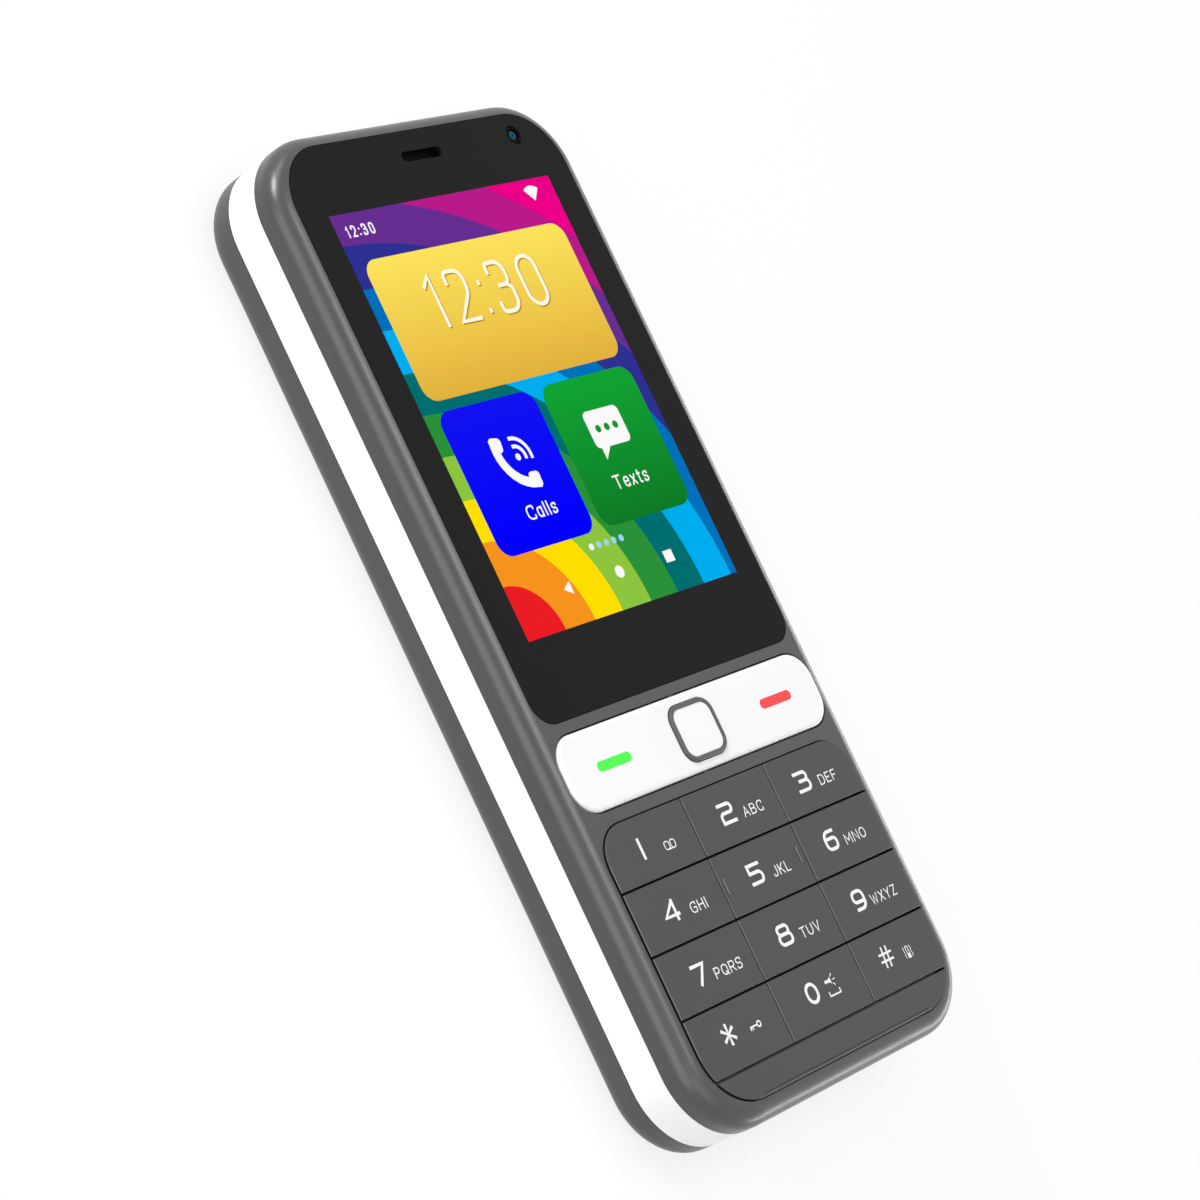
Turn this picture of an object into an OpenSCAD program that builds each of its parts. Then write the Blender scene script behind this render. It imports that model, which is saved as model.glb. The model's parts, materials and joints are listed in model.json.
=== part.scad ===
// Feature phone with a touch display, a rocker bar, a home key and a twelve-key pad.
// It lies on its back: X runs across, Y towards the earpiece end and Z out of the screen.

/* [Body] */
// Width across the phone
body_w = 57; // [55:0.5:62]
// Length from end to end
body_l = 131.3; // [128:0.1:140]
// Thickness from the back to the front face
body_t = 14; // [13.6:0.1:15]
// Plan radius of the four corners
corner_r = 10; // [9:0.5:12]
// Rounding of the front rim
front_edge_r = 2.5; // [1.5:0.1:2.8]
// Rounding of the back edge
back_edge_r = 3; // [2:0.1:3.5]
// Height of the back cover up to its seam
cover_h = 5; // [4.6:0.1:5.4]
// Height of the pale band between the two seams
band_h = 5; // [4.6:0.1:5.4]
// Side wall of the front housing and the band
wall = 1.8; // [1.5:0.1:2]
// Side wall of the back cover
cover_wall = 1.4; // [1.2:0.1:1.7]
// Floor of the back cover
cover_floor = 1.2; // [1:0.1:1.4]
// Gap at the seam of the lift-off cover
seam_gap = 0.12; // [0.05:0.01:0.2]

/* [Shell joints] */
// Thickness of the lip that locates one shell in the next
lip_t = 0.8; // [0.5:0.1:1]
// Height of the lip past its seam
lip_h = 0.8; // [0.5:0.1:1]
// Depth of the root that ties a lip to its wall
lip_root = 1.4; // [1:0.1:1.8]
// Side clearance of a lip
lip_gap = 0.12; // [0.08:0.01:0.2]
// Web of the band that carries the boards and the battery
web_t = 0.8; // [0.6:0.1:1]
// Outside radius of a screw boss
boss_r = 1.6; // [1.4:0.1:1.8]
// Shank radius of a case screw
screw_r = 0.7; // [0.5:0.1:0.8]
// Length of a case screw under its head
screw_l = 4.4; // [3.5:0.1:5]
// Head radius of a case screw
screw_head_r = 1.3; // [1.1:0.1:1.5]
// Head height of a case screw
screw_head_h = 0.8; // [0.5:0.1:0.9]
// Radial clearance round a screw shank
screw_gap = 0.05; // [0.02:0.01:0.2]

/* [Display] */
// Margin of the lens to the body's sides
lens_side = 2.4; // [2.2:0.1:3]
// Margin of the lens to the earpiece end
lens_end = 1.95; // [1.8:0.05:3]
// Thickness of the lens
lens_t = 1; // [0.7:0.1:1.2]
// Radius of the lens corners at the earpiece end
lens_r_top = 7.9; // [6:0.1:9]
// Radius of the lens corners beside the rocker bar
lens_r_bottom = 3.3; // [2:0.1:5]
// Clearance round the lens in its pocket
lens_gap = 0.1; // [0.05:0.01:0.2]
// Thickness of the adhesive gasket under the lens
gasket_t = 0.2; // [0.1:0.05:0.3]
// Thickness of the ledge under the gasket
ledge_t = 0.5; // [0.4:0.1:0.8]
// Lens edge at each side to the lit area
screen_side = 4.765; // [4:0.005:6]
// Lens edge at the earpiece end to the lit area
screen_drop = 9.24; // [9:0.01:10]
// Lens edge beside the rocker bar to the lit area
screen_foot = 10.29; // [9:0.01:12]
// Border of the window round the lit area
window_rim = 1; // [0.5:0.1:1.2]
// Border of the display module round the lit area
module_rim = 1.7; // [1.4:0.1:1.8]
// Driver edge of the module beyond its lit area
module_foot = 6; // [4:0.1:7]
// Thickness of the display panel
panel_t = 1.2; // [1:0.1:1.4]
// Thickness of the backlight tray
backlight_t = 1.2; // [1:0.1:1.4]
// Gap between the display module and the ledge
module_gap = 0.1; // [0.05:0.05:0.2]
// Length of the earpiece slot
slot_l = 7.7; // [6:0.1:9]
// Width of the earpiece slot
slot_w = 1.4; // [1.2:0.1:1.6]
// Lens edge at the earpiece end to the slot's middle
slot_drop = 3.4; // [3.2:0.1:4]
// Radius of the front camera's window
eye_r = 1.2; // [1:0.1:1.4]
// Right edge of the lens to the front camera's middle
eye_side = 7.5; // [7:0.1:8.5]
// Lens edge at the earpiece end to the front camera's middle
eye_drop = 3; // [2.9:0.1:3.6]

/* [Rocker bar and home key] */
// Strip of housing between the lens and the bar
bar_gap = 1.72; // [1.5:0.01:2.5]
// Length of the bar along the phone
bar_l = 10.02; // [9.4:0.01:11]
// Margin of the bar to the body's sides
bar_side = 2.46; // [2.3:0.01:3]
// Corner radius of the bar
bar_r = 3.75; // [3:0.05:4.5]
// Height of the bar above the front face
bar_proud = 0.3; // [0.2:0.05:0.4]
// Rounding of the bar's upper edge
bar_edge_r = 0.5; // [0.3:0.05:0.6]
// Radius of the bar's pivot pins
pivot_r = 0.25; // [0.2:0.01:0.3]
// Length of each pivot pin past the bar's edge
pivot_l = 0.6; // [0.4:0.1:0.7]
// Length of the coloured call and end marks
mark_l = 6.6; // [5:0.1:8]
// Width of the coloured marks
mark_w = 1.3; // [1:0.1:1.6]
// Depth of a mark's insert in the bar
mark_t = 0.6; // [0.4:0.1:0.8]
// End of the bar to the middle of its mark
mark_end = 9.24; // [8:0.01:11]
// Width of the home key's ring across the phone
ring_w = 8.6; // [7.5:0.1:9]
// Length of the home key's ring along the phone
ring_l = 7.5; // [7:0.05:8]
// Corner radius of the ring
ring_r = 2.1; // [1.5:0.1:2.4]
// Wall of the ring
ring_wall = 0.55; // [0.5:0.05:1]
// Gap round the ring in the bar
ring_gap = 0.1; // [0.08:0.01:0.3]
// Height of the ring above the front face
ring_proud = 0.65; // [0.6:0.05:0.9]
// Height of the home pad above the front face
pad_proud = 0.55; // [0.4:0.05:0.6]
// Rounding of the ring's and the pad's upper edges
home_edge_r = 0.2; // [0.15:0.05:0.35]

/* [Keypad] */
// Strip of housing between the bar and the keys
keys_gap = 1.77; // [1.5:0.01:2.5]
// Margin of the keypad to the body's sides
keys_side = 2.6; // [2.4:0.05:3.2]
// Corner radius of the keypad beside the bar
keys_r = 5; // [3:0.1:6]
// Pitch of the key rows
row_pitch = 8.19; // [7.8:0.01:8.4]
// Width of the middle column as a share of the keypad
column_share = 0.336; // [0.31:0.001:0.35]
// Slit between two rows
row_slit = 0.26; // [0.2:0.02:0.4]
// Slit between two columns
column_slit = 0.16; // [0.12:0.02:0.3]
// Slit between the keys or the bar and the housing
rim_slit = 0.2; // [0.15:0.01:0.3]
// Length of the blank trim under the keys
chin_l = 4.1; // [3.6:0.1:5]
// Corner radius of the blank trim
chin_r = 8; // [6:0.1:9]
// Margin of the blank trim to the end of the body
chin_end = 2.55; // [2.3:0.05:3.2]
// Distance of the shadow line from the trim's lower edge
line_inset = 0.3; // [0.2:0.05:0.5]
// Width of the shadow line
line_w = 0.1; // [0.08:0.01:0.15]
// Depth of the shadow line
line_d = 0.12; // [0.08:0.01:0.2]
// Height of the keys above the front face
key_proud = 0.27; // [0.2:0.01:0.35]
// Travel of a key
key_travel = 0.3; // [0.2:0.05:0.35]
// Chamfer of a key's upper edges
key_chamfer = 0.1; // [0.05:0.01:0.3]
// Thickness of the housing round the keys
key_plate_t = 1.05; // [0.9:0.05:1.2]
// Width of the flange that keeps a key in
flange_w = 0.5; // [0.3:0.05:0.6]
// Thickness of the flange
flange_t = 0.35; // [0.3:0.05:0.4]
// Gap over the flange
flange_gap = 0.1; // [0.05:0.01:0.15]
// Width of a tactile rib on the middle key
rib_w = 0.5; // [0.3:0.05:0.7]
// Length of a tactile rib
rib_l = 2.1; // [1.5:0.1:3]
// Height of a tactile rib
rib_h = 0.15; // [0.1:0.01:0.2]
// Distance of a rib from the edge of its key
rib_inset = 1; // [0.8:0.1:1.5]
// Thickness of the silicone mat
mat_t = 0.5; // [0.4:0.05:0.6]
// Radius of a plunger under the mat
plunger_r = 1.2; // [0.8:0.1:1.6]
// Gap that stays over the mat and over a dome
press_gap = 0.06; // [0.04:0.01:0.1]
// Radius of a switch dome
dome_r = 2; // [1.5:0.1:2.4]
// Height of a switch dome
dome_h = 0.3; // [0.25:0.01:0.35]
// Width of a switch dome's sloping skirt
dome_skirt = 0.9; // [0.6:0.1:1.1]

/* [Volume rocker] */
// Length of the rocker
rocker_l = 18; // [15:0.5:20]
// Width of the rocker
rocker_w = 2.4; // [2:0.1:2.8]
// Earpiece end of the body to the rocker's middle
rocker_drop = 35.65; // [31.65:0.5:39.65]
// Height of the rocker above the side wall
rocker_proud = 0.5; // [0.3:0.05:0.7]
// Slit round the rocker
rocker_slit = 0.3; // [0.25:0.01:0.4]
// Overhang of the rocker's inner flange
rocker_flange = 0.5; // [0.3:0.05:0.6]
// Thickness of the rocker's inner flange
rocker_flange_t = 0.4; // [0.3:0.05:0.5]
// Gap between the flange and the wall, for the rocking
rocker_play = 0.3; // [0.25:0.01:0.4]
// Radius of the rocker's pivot pin
rocker_pin_r = 0.35; // [0.25:0.01:0.4]
// Length of the pivot pin past the flange
rocker_pin_l = 0.3; // [0.2:0.05:0.4]

/* [Inside] */
// Thickness of the main board
board_t = 0.8; // [0.6:0.1:1]
// Clearance round the main board
board_gap = 0.3; // [0.2:0.05:0.5]
// Radius of a board post
post_r = 1.1; // [0.8:0.1:1.3]
// Inner side wall to the battery
battery_side = 4.7; // [3.7:0.1:6]
// Length of the battery
battery_l = 58; // [54:0.5:60]
// Thickness of the battery
battery_t = 4.8; // [4.4:0.1:4.9]
// Middle of the battery towards the earpiece end
battery_y = 5; // [4:0.5:6]
// Clearance round the battery
battery_gap = 0.3; // [0.2:0.05:0.4]
// Wall of the battery bay
bay_wall = 1; // [0.8:0.1:1.2]
// Width of the battery's contact block
contact_w = 10; // [8:0.5:12]
// Length of the contact block
contact_l = 3.6; // [3:0.1:4]
// Pitch of the contact springs
contact_pitch = 3; // [2.5:0.1:3.2]
// Inner side wall to the shield cans
can_side = 8.7; // [7:0.1:12]
// Length of the longer shield can
can_l = 26; // [20:1:27]
// Side clearance of a piece in its window
window_gap = 0.25; // [0.15:0.05:0.4]

/* [Ports and rear camera] */
// Bore radius of the headphone jack
jack_r = 1.8; // [1.76:0.01:1.85]
// Bore length of the headphone jack
jack_l = 12; // [11:0.5:13]
// Side of the jack's body
jack_w = 5.6; // [5:0.1:6]
// Height of the jack's body
jack_h = 4.6; // [4.4:0.1:4.8]
// Inner side wall to the jack's axis
jack_side = 12.7; // [11:0.1:14]
// Radius of the jack's mouth in the band
jack_mouth_r = 2.1; // [2:0.05:2.2]
// Width of the charging socket's shell
usb_w = 8.94; // [8.9:0.01:9]
// Height of the charging socket's shell
usb_h = 3.2; // [3.1:0.01:3.3]
// Depth of the charging socket's shell
usb_l = 7.4; // [6.5:0.1:8]
// Sheet thickness of the charging socket's shell
usb_sheet = 0.3; // [0.25:0.01:0.35]
// Thickness of the charging socket's tongue
usb_tongue_t = 0.7; // [0.6:0.05:0.8]
// Radius of the rear camera's barrel
barrel_r = 3.1; // [2.5:0.1:3.4]
// Earpiece end of the body to the rear camera's middle
camera_drop = 15.65; // [14.65:0.5:17.65]
// Side of the rear camera's base
camera_w = 8.4; // [7.5:0.1:9]
// Radius of the rear camera's window
camera_window_r = 3.6; // [3:0.1:4]
// Width of the bezel round the rear camera's window
bezel_w = 0.9; // [0.6:0.1:1.2]
// Radius of the torch window
torch_r = 1.7; // [1.4:0.1:2]
// Offset of the torch from the middle
torch_x = 9; // [8.5:0.5:10]
// Thickness of the windows in the cover
pane_t = 0.8; // [0.6:0.05:0.9]
// Width of the loudspeaker
speaker_w = 17; // [15:0.5:18]
// Length of the loudspeaker
speaker_l = 12; // [10:0.5:13]
// Inner side wall to the loudspeaker's middle
speaker_side = 16.2; // [14.5:0.1:16.5]
// Middle of the loudspeaker towards the earpiece end
speaker_y = -40; // [-42:0.5:-38]
// Height of the loudspeaker's foam gasket
foam_t = 0.8; // [0.5:0.1:1]
// Width of a sound slot in the cover
sound_w = 1; // [0.7:0.1:1.2]
// Length of a sound slot in the cover
sound_l = 8; // [6:0.5:9]
// Pitch of the sound slots
sound_pitch = 2.4; // [2:0.1:2.6]
// Width of the card holder
card_w = 16; // [14:0.5:17]
// Length of the card holder
card_l = 14; // [12:0.5:15]
// Inner side wall to the card holder's middle
card_side = 15.2; // [13.5:0.1:16.5]

/* [Hidden] */
KEYS = [
    "key_1", "key_2", "key_3", "key_4", "key_5", "key_6",
    "key_7", "key_8", "key_9", "key_star", "key_0", "key_hash"
];
COLUMNS = 3;
ROWS = 4;
TACTILE_KEY = 4;
CONTACTS = 3;
SOUND_SLOTS = 5;
$fn = 64;

// Overshoot of a cut past the face that it opens
cut = 1;

// Colours
grey = "#5d5d5d";
white = "#f4f4f4";
black = "#1c1c1e";
steel = "#b9bdc2";
brass = "#c8a24a";
board_green = "#1f5d3a";
silicone = "#d8d8d4";
glass_blue = "#27506b";

// Levels from the back to the front
z_back_seam = cover_h;
z_front_seam = cover_h + band_h;
z_face = body_t;
front_h = z_face - z_front_seam;
z_gasket = z_face - lens_t - gasket_t;
z_plate = z_gasket - ledge_t;
z_key_plate = z_face - key_plate_t;
z_key = z_key_plate - flange_gap - flange_t;
z_mat_top = z_key - key_travel - press_gap;
z_mat = z_mat_top - mat_t;
z_panel_top = z_plate - module_gap;
z_panel = z_panel_top - panel_t;
z_board_top = z_panel - backlight_t;
z_board = z_board_top - board_t;
z_battery = cover_floor + battery_gap;
z_web = z_battery + battery_t + battery_gap / 2;
z_web_top = z_web + web_t;
z_pivot = z_key_plate - flange_gap - pivot_r;

// Spaces inside the shells
in_w = body_w - 2 * wall;
in_l = body_l - 2 * wall;
in_r = corner_r - wall;
board_inset = lip_gap + lip_t + board_gap;

// Places along the phone, from the keypad's end up to the lens
y_trim = -body_l / 2 + chin_end;
y_chin = y_trim + chin_l;
y_keys = y_chin + ROWS * row_pitch;
y_bar = y_keys + keys_gap;
y_bar_top = y_bar + bar_l;
y_home = y_bar + bar_l / 2;
y_lens = y_bar_top + bar_gap;
y_lens_top = body_l / 2 - lens_end;
y_screen_top = y_lens_top - screen_drop;
y_screen = y_lens + screen_foot;
y_slot = y_lens_top - slot_drop;
y_eye = y_lens_top - eye_drop;
y_rocker = body_l / 2 - rocker_drop;
y_camera = body_l / 2 - camera_drop;
lens_w = body_w - 2 * lens_side;
screen_w = lens_w - 2 * screen_side;
screen_l = y_screen_top - y_screen;
eye_x = lens_w / 2 - eye_side;
bar_w = body_w - 2 * bar_side;
mark_x = bar_w / 2 - mark_end;
keys_w = body_w - 2 * keys_side;
column_w = keys_w * column_share;
module_w = screen_w + 2 * module_rim;
y_module = y_screen - module_foot;
y_module_top = y_screen_top + module_rim;

// Screw bosses: a pair in the upper corners, a pair beside the driver edge and a pair under the trim
boss_turn = 20;
boss_corner_gap = 0.3;
boss_side_gap = 0.1;
boss_side_rise = 4;
boss_low_inset = 2.7;
boss_reach = in_r - boss_r - boss_corner_gap;
boss_side_x = in_w / 2 - boss_r - boss_side_gap;
boss_low_x = body_w / 3;
y_boss_side = y_lens + boss_side_rise;
bosses = [
    for (s = [-1, 1])
        each [
            [
                s * (body_w / 2 - corner_r + boss_reach * cos(boss_turn)),
                body_l / 2 - corner_r + boss_reach * sin(boss_turn)
            ],
            [s * boss_side_x, y_boss_side],
            [s * boss_low_x, -in_l / 2 + boss_low_inset]
        ]
];

// Board posts, in pairs clear of the shield cans
post_inset = 3.6;
post_rows = [32, -27, -52];
posts = [for (s = [-1, 1], y = post_rows) [s * (in_w / 2 - post_inset), battery_y + y]];

// Inner pieces of standard size
battery_w = in_w - 2 * battery_side;
bay_w = battery_w + 2 * battery_gap;
bay_l = battery_l + 2 * battery_gap;
y_bay_top = battery_y + bay_l / 2;
z_bay = cover_floor + battery_gap;
can_gap = 0.3;
can_h = z_board - z_web_top - can_gap;
can_step = 6;
can_space = 1;
can_w = in_w - 2 * can_side;
can_short = can_l - can_step;
cans = [[can_space + can_l / 2, can_l], [-can_space - can_short / 2, can_short]];
motor_r = 4;
motor_t = 2.8;
motor_side = 9.7;
motor_x = in_w / 2 - motor_side;
motor_space = 2.7;
y_motor = y_bay_top + bay_wall + motor_space + motor_r;
eye_base = 5;
eye_wall = 0.4;
eye_barrel_r = eye_r + eye_wall;
earpiece_w = 10;
earpiece_l = 5.6;
mic_w = 4;
mic_l = 3;
mic_t = 1.1;
mic_side = 14.7;
mic_x = in_w / 2 - mic_side;
mic_hole_r = 0.5;
mic_boot = 0.4;
switch_board_t = 0.5;
switch_t = 0.6;
switch_w = 3.4;
switch_h = 1.6;
switch_gap = 0.3;
switch_x = in_w / 2 - rocker_play - rocker_flange_t - switch_gap - switch_t - switch_board_t;
jack_x = -in_w / 2 + jack_side;
jack_z = z_board_top - jack_h / 2;
speaker_x = in_w / 2 - speaker_side;
card_x = -in_w / 2 + card_side;
usb_z = z_board - usb_h / 2;
rocker_z = z_back_seam + band_h / 2;
rocker_x = in_w / 2 - rocker_play - rocker_flange_t / 2;
rocker_round = 0.9;
card_sheet = 0.4;
torch_base = 3.4;
torch_base_t = 1;
camera_clear = 0.4;
antenna_t = 0.2;
antenna_w = 1.2;
antenna_l = 38;
pry_r = 2.2;
pry_depth = 0.9;
pry_y = -45;

// Places of the plungers and the domes: the twelve keys, the bar's two ends and the home key
function column_x(c) = (c - 1) * (column_w + (keys_w - column_w) / 2) / 2;
function row_y(r) = y_keys - (r + 0.5) * row_pitch;
presses = concat(
    [for (r = [0:ROWS - 1], c = [0:COLUMNS - 1]) [column_x(c), row_y(r)]],
    [for (x = [-mark_x, 0, mark_x]) [x, y_home]]
);

// Plan shapes

// Plate outline, even about X = 0, with its own corner radius at each end
module outline(w, y0, y1, r0, r1) {
    translate([-w / 2, y0 + r0])
        square([w, y1 - y0 - r0 - r1]);
    translate([-w / 2 + r0, y0])
        square([w - 2 * r0, r0]);
    translate([-w / 2 + r1, y1 - r1])
        square([w - 2 * r1, r1]);
    for (s = [-1, 1]) {
        translate([s * (w / 2 - r0), y0 + r0])
            circle(r0);
        translate([s * (w / 2 - r1), y1 - r1])
            circle(r1);
    }
}

// Outline of the body, drawn in by an inset
module body_outline(inset) {
    outline(
        body_w - 2 * inset, -body_l / 2 + inset, body_l / 2 - inset, corner_r - inset, corner_r - inset
    );
}

// Flat ring inside the body between two insets
module body_ring(inset, thickness) {
    difference() {
        body_outline(inset);
        body_outline(inset + thickness);
    }
}

// Round-ended slot along X
module slot(length, width) {
    square([length - width, width], center = true);
    for (s = [-1, 1])
        translate([s * (length - width) / 2, 0])
            circle(width / 2);
}

module rectangle(x, y, w, l) {
    translate([x, y])
        square([w, l], center = true);
}

module at_each(places) {
    for (p = places)
        translate(p)
            children();
}

// Layer between two levels
module layer(z0, z1) {
    translate([0, 0, z0])
        linear_extrude(z1 - z0)
            children();
}

// Half section of a slab's rim: r wide, h high, with its upper outer edge rounded
module rim_section(r, h, edge_r) {
    square([r, h - edge_r]);
    translate([0, h - edge_r])
        square([r - edge_r, edge_r]);
    intersection() {
        translate([r - edge_r, h - edge_r])
            circle(edge_r);
        translate([r - edge_r, h - edge_r])
            square(edge_r);
    }
}

// Slab with round corners and a rounded upper edge, swept from one rim section
module slab(w, l, r, h, edge_r) {
    core_w = w - 2 * r;
    core_l = l - 2 * r;
    translate([-core_w / 2, -core_l / 2, 0])
        cube([core_w, core_l, h]);
    for (turn = [0, 180])
        rotate(turn) {
            translate([core_w / 2, core_l / 2, 0])
                rotate([90, 0, 0])
                    linear_extrude(core_l)
                        rim_section(r, h, edge_r);
            translate([-core_w / 2, core_l / 2, 0])
                rotate([90, 0, 90])
                    linear_extrude(core_w)
                        rim_section(r, h, edge_r);
            translate([core_w / 2, core_l / 2, 0])
                rotate_extrude(angle = 90)
                    rim_section(r, h, edge_r);
            translate([-core_w / 2, core_l / 2, 0])
                rotate(90)
                    rotate_extrude(angle = 90)
                        rim_section(r, h, edge_r);
        }
}

// Block with its four upper edges chamfered
module chamfered_block(x0, x1, y0, y1, h, c) {
    intersection() {
        translate([0, y1, 0])
            rotate([90, 0, 0])
                linear_extrude(y1 - y0)
                    polygon([[x0, 0], [x1, 0], [x1, h - c], [x1 - c, h], [x0 + c, h], [x0, h - c]]);
        translate([x0, 0, 0])
            rotate([90, 0, 90])
                linear_extrude(x1 - x0)
                    polygon([[y0, 0], [y1, 0], [y1, h - c], [y1 - c, h], [y0 + c, h], [y0, h - c]]);
    }
}

// Cuts that several shells share

module jack_mouth() {
    translate([jack_x, in_l / 2 - cut, jack_z])
        rotate([-90, 0, 0])
            cylinder(r = jack_mouth_r, h = wall + 2 * cut);
}

module usb_mouth() {
    translate([0, -in_l / 2 + cut, usb_z])
        rotate([90, 0, 0])
            linear_extrude(wall + 2 * cut)
                slot(usb_w + 2 * window_gap, usb_h + 2 * window_gap);
}

module rocker_mouth() {
    translate([in_w / 2 - cut, y_rocker, rocker_z])
        rotate([90, 0, 90])
            linear_extrude(wall + 2 * cut)
                slot(rocker_l + 2 * rocker_slit, rocker_w + 2 * rocker_slit);
}

// Room behind the rocker for its flange, its pin and the switches
module rocker_room(z0, z1) {
    reach = in_w / 2 - switch_x;
    room_l = rocker_l + 2 * rocker_flange + 2 * rocker_slit;
    layer(z0, z1)
        translate([switch_x, y_rocker - room_l / 2])
            square([reach, room_l]);
}

// Keypad outline, grown or drawn in, with round corners of its own at each end
module keypad_outline(grow) {
    outline(keys_w + 2 * grow, y_trim - grow, y_keys + grow, chin_r + grow, keys_r + grow);
}

// Column and row limits of one key, open towards the edges of the pad
function key_x0(c) = c == 0 ? -body_w / 2 : (c - 1.5) * column_w + column_slit / 2;
function key_x1(c) = c == COLUMNS - 1 ? body_w / 2 : (c - 0.5) * column_w - column_slit / 2;
function key_y0(r) = y_keys - (r + 1) * row_pitch + row_slit / 2;
function key_y1(r) = r == 0 ? y_keys + bar_gap : y_keys - r * row_pitch - row_slit / 2;

module key_plan(c, r, grow) {
    intersection() {
        keypad_outline(grow);
        translate([key_x0(c), key_y0(r)])
            square([key_x1(c) - key_x0(c), key_y1(r) - key_y0(r)]);
    }
}

// Lens plan with its two openings
module lens_plan(grow) {
    difference() {
        outline(lens_w + 2 * grow, y_lens - grow, y_lens_top + grow, lens_r_bottom + grow, lens_r_top + grow);
        translate([0, y_slot])
            slot(slot_l, slot_w);
        translate([eye_x, y_eye])
            circle(eye_r + lens_gap);
    }
}

// Outer shells

module front_housing() {
    color(grey)
    difference() {
        union() {
            difference() {
                translate([0, 0, z_front_seam])
                    slab(body_w, body_l, corner_r, front_h, front_edge_r);
                layer(z_front_seam - cut, z_plate)
                    body_outline(wall);
                layer(z_front_seam, z_key_plate)
                    intersection() {
                        body_outline(wall);
                        translate([-body_w / 2, y_chin])
                            square([body_w, y_bar_top + pivot_l + lens_gap - y_chin]);
                    }
            }
            at_each(bosses)
                layer(z_web_top, z_plate + ledge_t / 2)
                    circle(boss_r);
        }
        layer(z_gasket, z_face + cut)
            outline(
                lens_w + 2 * lens_gap, y_lens - lens_gap, y_lens_top + lens_gap,
                lens_r_bottom + lens_gap, lens_r_top + lens_gap
            );
        layer(z_plate - cut, z_face)
            rectangle(
                0, (y_screen + y_screen_top) / 2, screen_w + 2 * window_rim, screen_l + 2 * window_rim
            );
        layer(z_plate - cut, z_face) {
            translate([0, y_slot])
                slot(slot_l, slot_w);
            translate([eye_x, y_eye])
                circle(eye_barrel_r + lens_gap);
        }
        layer(z_key_plate - cut, z_face + cut)
            outline(
                bar_w + 2 * rim_slit, y_bar - rim_slit, y_bar_top + rim_slit,
                bar_r + rim_slit, bar_r + rim_slit
            );
        layer(z_key_plate - cut, z_face + cut)
            intersection() {
                keypad_outline(0);
                translate([-body_w / 2, y_chin])
                    square([body_w, y_keys + cut - y_chin]);
            }
        layer(z_key_plate, z_face + cut)
            keypad_outline(0);
        at_each(bosses)
            layer(z_web_top - cut, z_web + screw_l + press_gap)
                circle(screw_r + screw_gap);
        jack_mouth();
        usb_mouth();
    }
}

module mid_frame() {
    bay_in = wall + lip_gap;
    color(white)
    difference() {
        union() {
            layer(z_back_seam, z_front_seam)
                body_ring(0, wall);
            layer(z_web, z_web_top)
                body_outline(wall / 2);
            layer(z_front_seam - lip_root, z_front_seam)
                body_ring(wall / 2, wall / 2 + lip_gap + lip_t);
            layer(z_front_seam - lip_root, z_front_seam + lip_h)
                body_ring(bay_in, lip_t);
            layer(z_bay, z_web)
                difference() {
                    rectangle(0, battery_y, bay_w + 2 * bay_wall, bay_l + 2 * bay_wall);
                    rectangle(0, battery_y, bay_w, bay_l);
                    rectangle(0, y_bay_top + bay_wall / 2, contact_w + 2 * window_gap, 2 * bay_wall);
                    rectangle(0, battery_y - bay_l / 2 - bay_wall / 2, battery_w / 3, 2 * bay_wall);
                }
            at_each(posts)
                layer(z_web, z_board)
                    circle(post_r);
        }
        at_each(bosses) {
            layer(z_web - cut, z_web_top + cut)
                circle(screw_r + screw_gap);
            layer(z_web_top, z_front_seam + lip_h + cut)
                circle(boss_r + lip_gap);
        }
        layer(z_web - cut, z_web_top + cut) {
            rectangle(0, y_bay_top + contact_l / 2, contact_w + 2 * window_gap, contact_l + 2 * window_gap);
            rectangle(0, y_camera, camera_w + 2 * window_gap, camera_w + 2 * window_gap);
            rectangle(card_x, speaker_y, card_w + 2 * window_gap, card_l + 2 * window_gap);
        }
        layer(jack_z - jack_h / 2 - window_gap, z_front_seam)
            rectangle(jack_x, in_l / 2 - jack_l / 2, jack_w + 2 * window_gap, jack_l);
        layer(usb_z - usb_h / 2 - window_gap, z_front_seam)
            rectangle(0, -in_l / 2 + usb_l / 2, usb_w + 2 * window_gap, usb_l);
        layer(z_web_top, z_front_seam)
            rectangle(mic_x, -in_l / 2 + board_inset, mic_w, 2 * board_inset);
        translate([mic_x, -in_l / 2 + cut, z_board - mic_t / 2])
            rotate([90, 0, 0])
                cylinder(r = mic_hole_r, h = wall + 2 * cut);
        jack_mouth();
        usb_mouth();
        rocker_mouth();
        rocker_room(z_back_seam - cut, z_front_seam + lip_h + cut);
    }
}

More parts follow.
